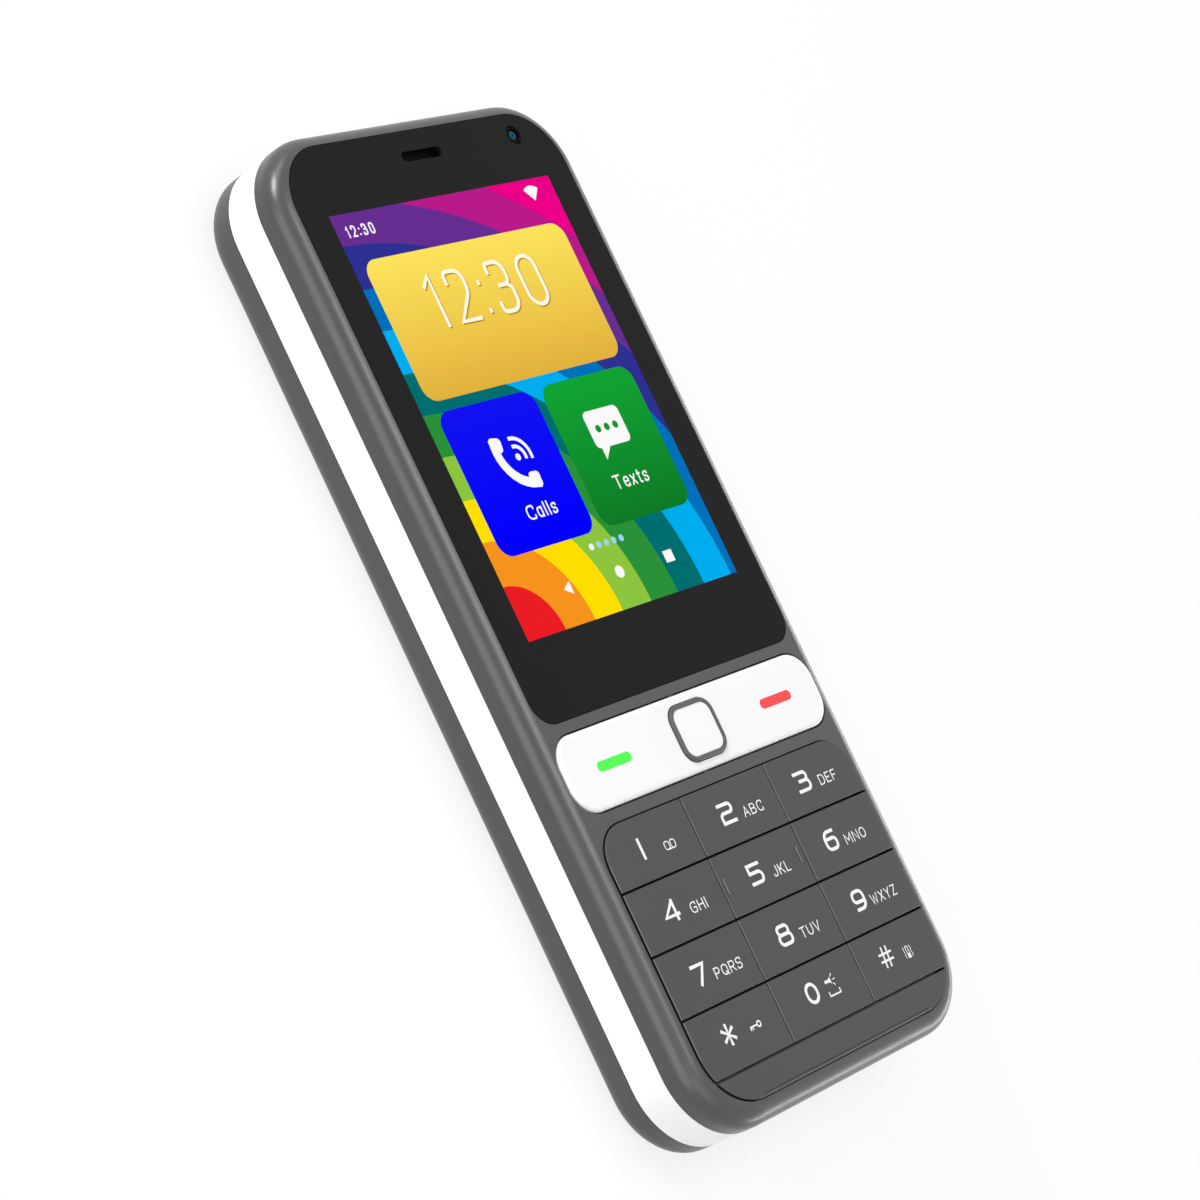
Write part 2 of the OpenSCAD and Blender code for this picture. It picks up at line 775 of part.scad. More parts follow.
module battery_cover() {
    height = cover_h - seam_gap;
    tongue_in = wall + lip_gap;
    color(grey)
    difference() {
        union() {
            difference() {
                translate([0, 0, height])
                    mirror([0, 0, 1])
                        slab(body_w, body_l, corner_r, height, back_edge_r);
                translate([0, 0, height + cut])
                    mirror([0, 0, 1])
                        slab(
                            body_w - 2 * cover_wall, body_l - 2 * cover_wall, corner_r - cover_wall,
                            height + cut - cover_floor, back_edge_r - cover_wall
                        );
            }
            layer(height - lip_root, height)
                body_ring(cover_wall / 2, tongue_in + lip_t - cover_wall / 2);
            layer(height - lip_root, z_web - lip_gap)
                body_ring(tongue_in, lip_t);
        }
        rocker_room(height - lip_root, z_web);
        layer(height, z_web) {
            at_each(bosses)
                circle(screw_head_r + window_gap);
            rectangle(jack_x, in_l / 2, jack_w + 2 * window_gap, 2 * (lip_gap + lip_t) + cut);
            rectangle(0, -in_l / 2, usb_w + 2 * window_gap, 2 * (lip_gap + lip_t) + cut);
        }
        translate([0, y_camera, -cut])
            cylinder(r = camera_window_r - bezel_w / 2, h = cover_floor + 2 * cut);
        translate([0, y_camera, -cut])
            cylinder(r = camera_window_r + bezel_w, h = pane_t + cut);
        translate([torch_x, y_camera, -cut])
            cylinder(r = torch_r, h = cover_floor + 2 * cut);
        layer(-cut, cover_floor + cut)
            for (i = [0:SOUND_SLOTS - 1])
                translate([speaker_x + (i - (SOUND_SLOTS - 1) / 2) * sound_pitch, speaker_y])
                    rotate(90)
                        slot(sound_l, sound_w);
        translate([body_w / 2 - pry_depth, pry_y, height])
            rotate([0, 90, 0])
                cylinder(r = pry_r, h = pry_depth + cut);
    }
}

// Display

module display_lens() {
    color(black)
    layer(z_gasket + gasket_t, z_face)
        lens_plan(0);
}

module lens_gasket() {
    color(black)
    layer(z_gasket, z_gasket + gasket_t)
        difference() {
            lens_plan(-lens_gap);
            rectangle(
                0, (y_screen + y_screen_top) / 2, screen_w + 2 * window_rim, screen_l + 2 * window_rim
            );
            translate([eye_x, y_eye])
                circle(eye_barrel_r + lens_gap);
        }
}

module display_panel() {
    color(black)
    layer(z_panel, z_panel_top)
        translate([-module_w / 2, y_module])
            square([module_w, y_module_top - y_module]);
}

module display_backlight() {
    well_t = 0.4;
    color(white)
    difference() {
        layer(z_board_top, z_panel)
            translate([-module_w / 2, y_module])
                square([module_w, y_module_top - y_module]);
        layer(z_panel - well_t, z_panel + cut)
            rectangle(0, (y_screen + y_screen_top) / 2, screen_w, screen_l);
    }
}

module earpiece_mesh() {
    holes = 12;
    hole_r = 0.14;
    mesh_t = 0.4;
    rows_pitch = 0.36;
    pitch = (slot_l - slot_w) / holes;
    color(steel)
    translate([0, y_slot, z_gasket])
        linear_extrude(mesh_t)
            difference() {
                slot(slot_l - 2 * lens_gap, slot_w - 2 * lens_gap);
                for (i = [0:holes], s = [-1:1])
                    translate([(i - holes / 2) * pitch, s * rows_pitch])
                        circle(hole_r);
            }
}

module earpiece() {
    color(black) {
        layer(z_board_top, z_panel_top)
            intersection() {
                translate([0, y_slot])
                    slot(earpiece_w, earpiece_l);
                body_outline(wall + board_inset);
            }
        layer(z_panel_top, z_gasket)
            translate([0, y_slot])
                slot(slot_l - 2 * lens_gap, slot_w - 2 * lens_gap);
    }
}

module front_camera() {
    color(black) {
        layer(z_board_top, z_panel)
            intersection() {
                rectangle(eye_x, y_eye, eye_base, eye_base);
                body_outline(wall + board_inset);
            }
        layer(z_panel, z_gasket)
            translate([eye_x, y_eye])
                circle(eye_barrel_r);
    }
}

module front_camera_window() {
    color(glass_blue)
    layer(z_gasket, z_face - lens_gap)
        translate([eye_x, y_eye])
            circle(eye_r);
}

// Rocker bar and home key

module call_end_bar() {
    color(white)
    difference() {
        union() {
            translate([0, y_home, z_key])
                slab(bar_w, bar_l, bar_r, z_face + bar_proud - z_key, bar_edge_r);
            translate([0, y_bar - pivot_l, z_pivot])
                rotate([-90, 0, 0])
                    cylinder(r = pivot_r, h = bar_l + 2 * pivot_l);
        }
        layer(z_key - cut, z_face + bar_proud + cut)
            outline(
                ring_w + 2 * ring_gap, y_home - ring_l / 2 - ring_gap, y_home + ring_l / 2 + ring_gap,
                ring_r + ring_gap, ring_r + ring_gap
            );
        for (s = [-1, 1])
            layer(z_face + bar_proud - mark_t, z_face + bar_proud + cut)
                translate([s * mark_x, y_home])
                    slot(mark_l, mark_w);
    }
}

module mark(side, colour) {
    color(colour)
    layer(z_face + bar_proud - mark_t, z_face + bar_proud)
        translate([side * mark_x, y_home])
            slot(mark_l, mark_w);
}

module home_pad() {
    color(white)
    translate([0, y_home, z_key])
        slab(
            ring_w - 2 * ring_wall, ring_l - 2 * ring_wall, ring_r - ring_wall,
            z_face + pad_proud - z_key, home_edge_r
        );
}

module home_ring() {
    color(grey)
    difference() {
        translate([0, y_home, z_key])
            slab(ring_w, ring_l, ring_r, z_face + ring_proud - z_key, home_edge_r);
        layer(z_key - cut, z_face + ring_proud + cut)
            outline(
                ring_w - 2 * ring_wall, y_home - ring_l / 2 + ring_wall, y_home + ring_l / 2 - ring_wall,
                ring_r - ring_wall, ring_r - ring_wall
            );
    }
}

// Keypad

module key(index) {
    c = index % COLUMNS;
    r = floor(index / COLUMNS);
    x0 = max(key_x0(c), -keys_w / 2 + rim_slit);
    x1 = min(key_x1(c), keys_w / 2 - rim_slit);
    y1 = min(key_y1(r), y_keys - rim_slit);
    z_top = z_face + key_proud;
    color(grey) {
        intersection() {
            layer(z_key, z_top)
                key_plan(c, r, -rim_slit);
            translate([0, 0, z_key])
                chamfered_block(x0, x1, key_y0(r), y1, z_top - z_key, key_chamfer);
        }
        layer(z_key, z_key + flange_t)
            key_plan(c, r, flange_w);
        if (index == TACTILE_KEY)
            for (s = [-1, 1])
                layer(z_top - key_chamfer, z_top + rib_h)
                    translate([s * (column_w / 2 - rib_inset), row_y(r)])
                        rotate(90)
                            slot(rib_l, rib_w);
    }
}

module keypad_trim() {
    z_top = z_face + key_proud;
    x = keys_w / 2 - rim_slit;
    line_x = keys_w / 2 - chin_r;
    color(grey)
    difference() {
        intersection() {
            layer(z_key_plate, z_top)
                intersection() {
                    keypad_outline(-rim_slit);
                    translate([-body_w / 2, y_trim])
                        square([body_w, chin_l - row_slit / 2]);
                }
            translate([0, 0, z_key_plate])
                chamfered_block(
                    -x, x, y_trim + rim_slit, y_chin - row_slit / 2, z_top - z_key_plate, key_chamfer
                );
        }
        layer(z_top - line_d, z_top + line_d)
            translate([-line_x, y_trim + rim_slit + line_inset])
                square([2 * line_x, line_w]);
    }
}

module keypad_mat() {
    mat_inset = wall + lip_gap;
    color(silicone) {
        layer(z_mat, z_mat_top)
            intersection() {
                body_outline(mat_inset);
                translate([-body_w / 2, y_chin + rim_slit])
                    square([body_w, y_bar_top - y_chin - 2 * rim_slit]);
            }
        at_each(presses)
            layer(z_board_top + dome_h + press_gap, z_mat)
                circle(plunger_r);
    }
}

module key_domes() {
    color(steel)
    at_each(presses)
        translate([0, 0, z_board_top])
            cylinder(r1 = dome_r, r2 = dome_r - dome_skirt, h = dome_h);
}

// Volume rocker

module volume_rocker() {
    inner_x = rocker_x + rocker_flange_t / 2;
    outer_x = body_w / 2 + rocker_proud;
    pin_l = rocker_w + 2 * rocker_flange + 2 * rocker_pin_l;
    corner = rocker_round * rocker_w / 2;
    color(grey)
    translate([0, y_rocker, rocker_z]) {
        translate([inner_x, 0, 0])
            rotate([0, 90, 0])
                slab(rocker_w, rocker_l, corner, outer_x - inner_x, home_edge_r);
        translate([rocker_x - rocker_flange_t / 2, 0, 0])
            rotate([90, 0, 90])
                linear_extrude(rocker_flange_t)
                    slot(rocker_l + 2 * rocker_flange, rocker_w + 2 * rocker_flange);
        translate([rocker_x, 0, -pin_l / 2])
            cylinder(r = rocker_pin_r, h = pin_l);
    }
}

module side_switches() {
    color(steel)
    translate([switch_x, y_rocker, rocker_z]) {
        translate([0, -rocker_l / 2, -rocker_w / 2])
            cube([switch_board_t, rocker_l, rocker_w]);
        for (s = [-1, 1])
            translate([switch_board_t, s * rocker_l / 3 - switch_w / 2, -switch_h / 2])
                cube([switch_t, switch_w, switch_h]);
    }
}

// Boards, battery and inner modules

module main_board() {
    color(board_green)
    layer(z_board, z_board_top)
        difference() {
            body_outline(wall + board_inset);
            at_each(bosses)
                circle(boss_r + lip_gap);
            rectangle(jack_x, in_l / 2 - jack_l / 2, jack_w + 2 * window_gap, jack_l + 2 * window_gap);
        }
}

module shield_cans() {
    color(steel)
    for (can = cans)
        layer(z_board - can_h, z_board)
            rectangle(0, battery_y + can[0], can_w, can[1]);
}

module battery() {
    color(black)
    layer(z_battery, z_battery + battery_t)
        rectangle(0, battery_y, battery_w, battery_l);
}

module battery_contacts() {
    spring_w = 1.2;
    spring_h = 0.8;
    z_spring = z_battery + battery_t / 2;
    color(brass)
    translate([0, y_bay_top, 0]) {
        layer(z_spring - spring_h, z_board)
            translate([-contact_w / 2, 0])
                square([contact_w, contact_l]);
        for (i = [0:CONTACTS - 1])
            layer(z_spring, z_spring + spring_h)
                translate([(i - (CONTACTS - 1) / 2) * contact_pitch - spring_w / 2, -battery_gap / 2])
                    square([spring_w, battery_gap / 2]);
    }
}

module card_holder() {
    color(steel)
    difference() {
        layer(z_web_top, z_board)
            rectangle(card_x, speaker_y, card_w, card_l);
        layer(z_web_top + card_sheet, z_board - card_sheet)
            rectangle(card_x, speaker_y - card_sheet, card_w - 2 * card_sheet, card_l);
    }
}

module loudspeaker() {
    frame_w = 1;
    color(black)
    difference() {
        layer(cover_floor + foam_t + battery_gap, z_web)
            rectangle(speaker_x, speaker_y, speaker_w, speaker_l);
        layer(cover_floor, cover_floor + foam_t + battery_gap + frame_w / 2)
            rectangle(speaker_x, speaker_y, speaker_w - 2 * frame_w, speaker_l - 2 * frame_w);
    }
}

module speaker_gasket() {
    frame_w = 0.9;
    color(black)
    layer(cover_floor + battery_gap, cover_floor + battery_gap + foam_t)
        difference() {
            rectangle(speaker_x, speaker_y, speaker_w, speaker_l);
            rectangle(speaker_x, speaker_y, speaker_w - 2 * frame_w, speaker_l - 2 * frame_w);
        }
}

module vibration_motor() {
    color(steel)
    translate([motor_x, y_motor, z_web - motor_t])
        cylinder(r = motor_r, h = motor_t);
}

module rear_camera() {
    color(black) {
        layer(z_web, z_board)
            rectangle(0, y_camera, camera_w, camera_w);
        difference() {
            layer(cover_floor + camera_clear, z_web)
                translate([0, y_camera])
                    circle(barrel_r);
            layer(cover_floor, cover_floor + 2 * camera_clear)
                translate([0, y_camera])
                    circle(barrel_r / 2);
        }
    }
}

module camera_bezel() {
    color(steel)
    layer(seam_gap, pane_t)
        translate([0, y_camera])
            difference() {
                circle(camera_window_r + bezel_w);
                circle(camera_window_r);
            }
}

module camera_window() {
    color(glass_blue)
    layer(2 * seam_gap, pane_t)
        translate([0, y_camera])
            circle(camera_window_r);
}

module torch_led() {
    color(white) {
        layer(z_web - torch_base_t, z_web)
            rectangle(torch_x, y_camera, torch_base, torch_base);
        layer(cover_floor + camera_clear, z_web - torch_base_t)
            translate([torch_x, y_camera])
                circle(torch_r - window_gap);
    }
}

module torch_window() {
    color(white)
    layer(seam_gap, cover_floor)
        translate([torch_x, y_camera])
            circle(torch_r);
}

module usb_socket() {
    tongue_w = usb_w - usb_h;
    color(steel)
    translate([0, -in_l / 2, usb_z])
        rotate([-90, 0, 0]) {
            difference() {
                linear_extrude(usb_l)
                    slot(usb_w, usb_h);
                translate([0, 0, -cut])
                    linear_extrude(usb_l - usb_sheet + cut)
                        slot(usb_w - 2 * usb_sheet, usb_h - 2 * usb_sheet);
            }
            translate([-tongue_w / 2, -usb_tongue_t / 2, usb_sheet])
                cube([tongue_w, usb_tongue_t, usb_l - usb_sheet]);
        }
}

module audio_jack() {
    color(black)
    translate([jack_x, in_l / 2, jack_z])
        difference() {
            translate([-jack_w / 2, -jack_l, -jack_h / 2])
                cube([jack_w, jack_l, jack_h]);
            translate([0, cut, 0])
                rotate([90, 0, 0])
                    cylinder(r = jack_r, h = jack_l + 2 * cut);
        }
}

module microphone() {
    color(black)
    layer(z_board - mic_t, z_board)
        translate([mic_x - mic_w / 2 + mic_boot, -in_l / 2])
            square([mic_w - 2 * mic_boot, mic_l + board_inset]);
}

module antenna_strip() {
    color(brass)
    translate([-in_w / 2, y_boss_side - boss_r - window_gap - antenna_l, z_web_top])
        cube([antenna_t, antenna_l, antenna_w]);
}

module case_screws() {
    recess_w = 0.4;
    recess_l = 1.6;
    color(steel)
    at_each(bosses)
        difference() {
            union() {
                layer(z_web - screw_head_h, z_web)
                    circle(screw_head_r);
                layer(z_web, z_web + screw_l)
                    circle(screw_r);
            }
            layer(z_web - screw_head_h - cut, z_web - screw_head_h / 2) {
                square([recess_l, recess_w], center = true);
                square([recess_w, recess_l], center = true);
            }
        }
}

front_housing();
mid_frame();
battery_cover();
display_lens();
lens_gasket();
display_panel();
display_backlight();
earpiece_mesh();
earpiece();
front_camera();
front_camera_window();
call_end_bar();
mark(-1, "#55ff55");  // call_mark
mark(1, "#ff5555");  // end_mark
home_pad();
home_ring();
for (i = [0:len(KEYS) - 1])
    key(i);
keypad_trim();
keypad_mat();
key_domes();
volume_rocker();
side_switches();
main_board();
shield_cans();
battery();
battery_contacts();
card_holder();
loudspeaker();
speaker_gasket();
vibration_motor();
rear_camera();
camera_bezel();
camera_window();
torch_led();
torch_window();
usb_socket();
audio_jack();
microphone();
antenna_strip();
case_screws();
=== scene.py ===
"""Looks of a bar-shaped feature phone: finishes, lit screen, key prints, camera glass and a studio stage."""

import json
import math

import bmesh
import bpy
from mathutils import Matrix, Quaternion, Vector

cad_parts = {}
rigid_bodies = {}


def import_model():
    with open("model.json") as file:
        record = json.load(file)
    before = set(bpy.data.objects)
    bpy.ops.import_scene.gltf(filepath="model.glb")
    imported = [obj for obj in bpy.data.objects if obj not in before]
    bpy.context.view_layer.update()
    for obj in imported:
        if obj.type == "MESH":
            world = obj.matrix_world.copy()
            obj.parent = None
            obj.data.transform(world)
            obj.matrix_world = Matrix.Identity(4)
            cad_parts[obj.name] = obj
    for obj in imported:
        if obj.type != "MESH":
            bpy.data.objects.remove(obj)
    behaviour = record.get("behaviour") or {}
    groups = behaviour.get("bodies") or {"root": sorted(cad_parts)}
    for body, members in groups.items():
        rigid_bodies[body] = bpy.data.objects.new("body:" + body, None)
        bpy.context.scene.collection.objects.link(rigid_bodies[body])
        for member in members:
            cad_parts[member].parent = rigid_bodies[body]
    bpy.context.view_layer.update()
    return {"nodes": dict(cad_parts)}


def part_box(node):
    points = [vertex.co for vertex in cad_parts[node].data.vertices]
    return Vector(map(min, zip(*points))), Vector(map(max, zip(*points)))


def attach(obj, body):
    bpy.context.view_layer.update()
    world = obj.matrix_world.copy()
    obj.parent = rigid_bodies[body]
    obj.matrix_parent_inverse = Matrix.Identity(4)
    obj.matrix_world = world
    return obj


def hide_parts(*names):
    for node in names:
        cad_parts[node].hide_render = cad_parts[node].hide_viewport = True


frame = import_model()

bl_info = {
    "name": "Feature Phone Looks",
    "version": (1, 0, 0),
    "blender": (4, 5, 0),
    "location": "3D View > Sidebar > Phone",
    "description": "Finishes, lit screen, key prints and stage of a feature phone",
    "category": "Object",
}

# Shapes are drawn in millimetres and turned into metres when their mesh is made
MM = 0.001
# Straight steps in each quarter turn of an arc, and in the full turn of a turned solid
ARC_STEPS, LATHE_STEPS = 8, 64
# A mitred corner of a stroke reaches at most this many half widths
MITRE_LIMIT = 1.8
# Points closer than this are one point
SAME_POINT = 1e-4
# Corners of a mesh closer than this, in metres, are one corner
WELD_GAP = 1e-6
# Rounded edges: degrees between faces that count as one, degrees from which an edge is rounded, and steps across it
PLAIN_ANGLE, EDGE_ANGLE, EDGE_STEPS = 1, 30, 3


def linear(code):
    """The linear colour of an sRGB code such as #5d5d5d."""
    parts = [int(code[i:i + 2], 16) / 255 for i in (1, 3, 5)]
    return tuple(p / 12.92 if p <= 0.04045 else ((p + 0.055) / 1.055) ** 2.4 for p in parts)


def colour_property(name, description, code):
    """A colour that a user may change."""
    return bpy.props.FloatVectorProperty(
        name=name, description=description, subtype="COLOR", size=3, min=0.0, max=1.0, default=linear(code)
    )


def length_property(name, description, millimetres):
    """A length that a user may change."""
    return bpy.props.FloatProperty(
        name=name, description=description, default=millimetres * MM, min=0.0, unit="LENGTH", precision=5
    )


def angle_property(name, description, degrees):
    """An angle that a user may change."""
    return bpy.props.FloatProperty(name=name, description=description, default=math.radians(degrees), subtype="ANGLE")


def power_property(name, description, watts):
    """The power of a lamp that a user may change."""
    return bpy.props.FloatProperty(name=name, description=description, default=watts, min=0.0, unit="POWER")


class PhoneFinishes(bpy.types.PropertyGroup):
    """Colours of the phone's surfaces and widths of its rounded edges."""

    body_grey: colour_property("Body grey", "Front housing and volume rocker", "#353535")
    cover_grey: colour_property("Cover grey", "Back cover", "#464646")
    key_grey: colour_property("Key grey", "Keys and the blank trim below them", "#464646")
    band_white: colour_property("Band white", "White band round the middle", "#f4f4f4")
    bar_white: colour_property("Bar white", "Rocker bar and home pad", "#f7f7f7")
    ring_grey: colour_property("Ring grey", "Ring round the home pad", "#525252")
    mark_green: colour_property("Call green", "Insert at the call end of the bar", "#40fb40")
    mark_red: colour_property("End red", "Insert at the end-call end of the bar", "#f63c3c")
    lens_black: colour_property("Lens black", "Border behind the front lens", "#1c1c1c")
    print_white: colour_property("Print white", "Digits and letters on the keys", "#f6f6f6")
    key_edge: length_property("Key edge", "Width of the rounding on the edges of the keys", 0.04)
    bar_edge: length_property("Bar edge", "Width of the rounding on the edges of the bar and the home key", 0.06)


class PhonePrints(bpy.types.PropertyGroup):
    """Sizes of what is printed on the keys."""

    digit_height: length_property("Digit height", "Height of a key's digit", 2.75)
    digit_stroke: length_property("Digit stroke", "Line width of a key's digit", 0.44)
    letter_height: length_property("Letter height", "Height of a key's letters", 1.4)
    letter_stroke: length_property("Letter stroke", "Line width of a key's letters", 0.16)
    letter_gap: length_property("Letter gap", "Space between two letters", 0.36)
    thickness: length_property("Print thickness", "Height of the print above the key", 0.02)


class PhoneScreen(bpy.types.PropertyGroup):
    """Sizes and colours of the lit screen."""

    side: length_property("Side margin", "From the lens's side edge to the picture", 4.765)
    drop: length_property("Top margin", "From the lens's top edge to the picture", 9.24)
    foot: length_property("Bottom margin", "From the lens's bottom edge to the picture", 10.29)
    layer: length_property("Layer", "Thickness of one layer of the picture", 0.016)
    tile_round: length_property("Tile corner", "Corner radius of the card and the tiles", 2.2)
    clock_height: length_property("Clock height", "Height of the large clock's digits", 7.3)
    clock_stroke: length_property("Clock stroke", "Line width of the large clock's digits", 0.55)
    card_top: colour_property("Card top", "Clock card at its top edge", "#ffe55c")
    card_foot: colour_property("Card foot", "Clock card at its bottom edge", "#e3b23c")
    calls_top: colour_property("Calls tile top", "Calls tile at its top edge", "#1212f2")
    calls_foot: colour_property("Calls tile foot", "Calls tile at its bottom edge", "#0000ff")
    texts_top: colour_property("Texts tile top", "Texts tile at its top edge", "#12a534")
    texts_foot: colour_property("Texts tile foot", "Texts tile at its bottom edge", "#0f7a26")


class PhoneStage(bpy.types.PropertyGroup):
    """Camera, lamps and floor."""

    azimuth: angle_property("Azimuth", "Where the camera stands round the phone", -82.55)
    elevation: angle_property("Elevation", "How high the camera stands", 39.153)
    roll: angle_property("Roll", "Turn of the camera about its own view", 59.94)
    distance: length_property("Distance", "From the camera to the point it looks at", 482.84)
    aim: bpy.props.FloatVectorProperty(
        name="Aim", description="Point that the camera looks at", subtype="TRANSLATION", size=3,
        default=(0.00263, 0.00079, 0.007),
    )
    lens: bpy.props.FloatProperty(
        name="Lens", description="Focal length of the camera", unit="CAMERA", default=115.896
    )
    ambient: bpy.props.FloatProperty(
        name="Ambient level", description="Even light from all round", min=0.0, default=0.43
    )
    overhead: power_property("Overhead lamp", "Soft lamp above the phone", 0.9)
    left_side: power_property("Left lamp", "Wide lamp on the left", 2.0)
    low_left: power_property("Lower left lamp", "Soft lamp above the lower left corner", 0.5)
    top_left: power_property("Top left lamp", "Small lamp beyond the top left corner", 2.7)
    top_end: power_property("Top end lamp", "Strip lamp beyond the top end", 0.9)
    right_end: power_property("Lower right lamp", "Low strip lamp beyond the lower right corner", 2.6)
    floor_size: bpy.props.FloatProperty(
        name="Floor size", description="Width of the floor", unit="LENGTH", min=0.5, default=6.0
    )


# Outlines and strokes


def millimetres(metres):
    """A length in the unit that shapes are drawn in."""
    return metres / MM


def node_box(node):
    """Lowest and highest corner of a CAD node, in millimetres."""
    low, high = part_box(node)
    return low / MM, high / MM


def arc(centre, radius, start, end):
    """Points along an arc, from one angle to the other in degrees."""
    steps = max(2, math.ceil(ARC_STEPS * abs(end - start) / 90))
    angles = [math.radians(start + (end - start) * i / steps) for i in range(steps + 1)]
    return [Vector((centre[0] + radius * math.cos(a), centre[1] + radius * math.sin(a))) for a in angles]


def circle(centre, radius):
    """Points round a circle."""
    return arc(centre, radius, 0, 360)[:-1]


def corner_arc(before, corner, after, radius):
    """The points that round one corner of a line."""
    to_before, to_after = before - corner, after - corner
    half = to_before.angle(to_after) / 2
    reach = min(radius / math.tan(half), to_before.length / 2, to_after.length / 2)
    side, other = to_before.normalized(), to_after.normalized()
    centre = corner + (side + other).normalized() * (reach / math.cos(half))
    first, last = corner + side * reach - centre, corner + other * reach - centre
    sweep = math.atan2(first.x * last.y - first.y * last.x, first.dot(last))
    steps = max(2, math.ceil(ARC_STEPS * abs(sweep) / (math.pi / 2)))
    turns = [Matrix.Rotation(sweep * i / steps, 2) for i in range(steps + 1)]
    return [centre + turn @ first for turn in turns]


def rounded(points, closed):
    """A line through the points, with an arc where a point has a radius as its third number."""
    line = []
    for i, point in enumerate(points):
        place = Vector(point[:2])
        is_end = not closed and i in (0, len(points) - 1)
        if len(point) < 3 or is_end:
            line.append(place)
            continue
        before = Vector(points[i - 1][:2])
        after = Vector(points[(i + 1) % len(points)][:2])
        line += corner_arc(before, place, after, point[2])
    return [p for i, p in enumerate(line) if (p - line[i - 1]).length > SAME_POINT]


def corners(left, low, right, high, *third):
    """The corners of a rectangle, each with a third number where one is given."""
    return [(x, y, *third) for x, y in ((left, low), (right, low), (right, high), (left, high))]


def rounded_box(left, low, right, high, radius):
    """Outline of a rectangle with round corners."""
    return rounded(corners(left, low, right, high, radius), True)


def moved(points, x, y):
    """Points moved by a step. What follows their first two numbers stays."""
    return [(x + p[0], y + p[1], *p[2:]) for p in points]


def turned(outline, centre, degrees):
    """An outline turned about the origin and moved to a centre."""
    turn = Matrix.Rotation(math.radians(degrees), 2)
    return [Vector(centre) + turn @ Vector(p) for p in outline]


def slab(outline, low, high):
    """Points and faces of a flat solid with that outline."""
    count = len(outline)
    points = [(p[0], p[1], z) for z in (low, high) for p in outline]
    sides = [(i, (i + 1) % count, count + (i + 1) % count, count + i) for i in range(count)]
    return points, [tuple(reversed(range(count))), tuple(range(count, 2 * count)), *sides]


def edge_offsets(line, width, closed):
    """For each point of a line, the mitred step from it to the stroke's left edge."""
    offsets = []
    count = len(line)
    for i in range(count):
        normals = []
        for a, b in ((i - 1, i), (i, i + 1)):
            if closed or 0 <= a and b < count:
                along = (line[b % count] - line[a % count]).normalized()
                normals.append(Vector((-along.y, along.x)))
        mitre = sum(normals, Vector((0, 0))).normalized()
        reach = min(1 / max(mitre.dot(normals[0]), 1 / MITRE_LIMIT), MITRE_LIMIT)
        offsets.append(mitre * (width / 2 * reach))
    return offsets


def stroke(line, width, low, high, closed=False):
    """Points and faces of a flat ribbon along a line. An open one ends square, half a width past its ends."""
    line = [Vector(p) for p in line]
    if not closed:
        line[0] = line[0] + (line[0] - line[1]).normalized() * (width / 2)
        line[-1] = line[-1] + (line[-1] - line[-2]).normalized() * (width / 2)
    offsets = edge_offsets(line, width, closed)
    points = []
    for p, offset in zip(line, offsets):
        left, right = p + offset, p - offset
        points += [(*right, low), (*left, low), (*left, high), (*right, high)]
    count = len(line)
    faces = []
    for i in range(count if closed else count - 1):
        a, b = 4 * i, 4 * ((i + 1) % count)
        faces += [(a + k, a + (k + 1) % 4, b + (k + 1) % 4, b + k) for k in range(4)]
    if not closed:
        faces += [(3, 2, 1, 0), tuple(4 * (count - 1) + k for k in range(4))]
    return points, faces


def lathe(profile, centre):
    """Points and faces of a solid turned about a vertical axis. The profile starts and ends on the axis."""
    ring_profile = profile[1:-1]
    points = [(*centre, profile[0][1]), (*centre, profile[-1][1])]
    for i in range(LATHE_STEPS):
        a = 2 * math.pi * i / LATHE_STEPS
        points += [(centre[0] + r * math.cos(a), centre[1] + r * math.sin(a), z) for r, z in ring_profile]
    size = len(ring_profile)
    faces = []
    for i in range(LATHE_STEPS):
        here, there = 2 + i * size, 2 + (i + 1) % LATHE_STEPS * size
        faces.append((0, there, here))
        faces += [(here + k, there + k, there + k + 1, here + k + 1) for k in range(size - 1)]
        faces.append((1, here + size - 1, there + size - 1))
    return points, faces


# Letters and digits, each with its width as a share of its height and the lines it is drawn with.
# A line runs in a cell of 1 by 1, a third number is a corner's radius, and a line that ends where it starts is a loop.

OVAL = [(0, 0, 0.5), (1, 0, 0.5), (1, 1, 0.5), (0, 1, 0.5), (0, 0, 0.5)]
BOWL = [(0, 1), (1, 1, 0.27), (1, 0.45, 0.27), (0, 0.45)]
STEM = [(0, 0), (0, 1)]

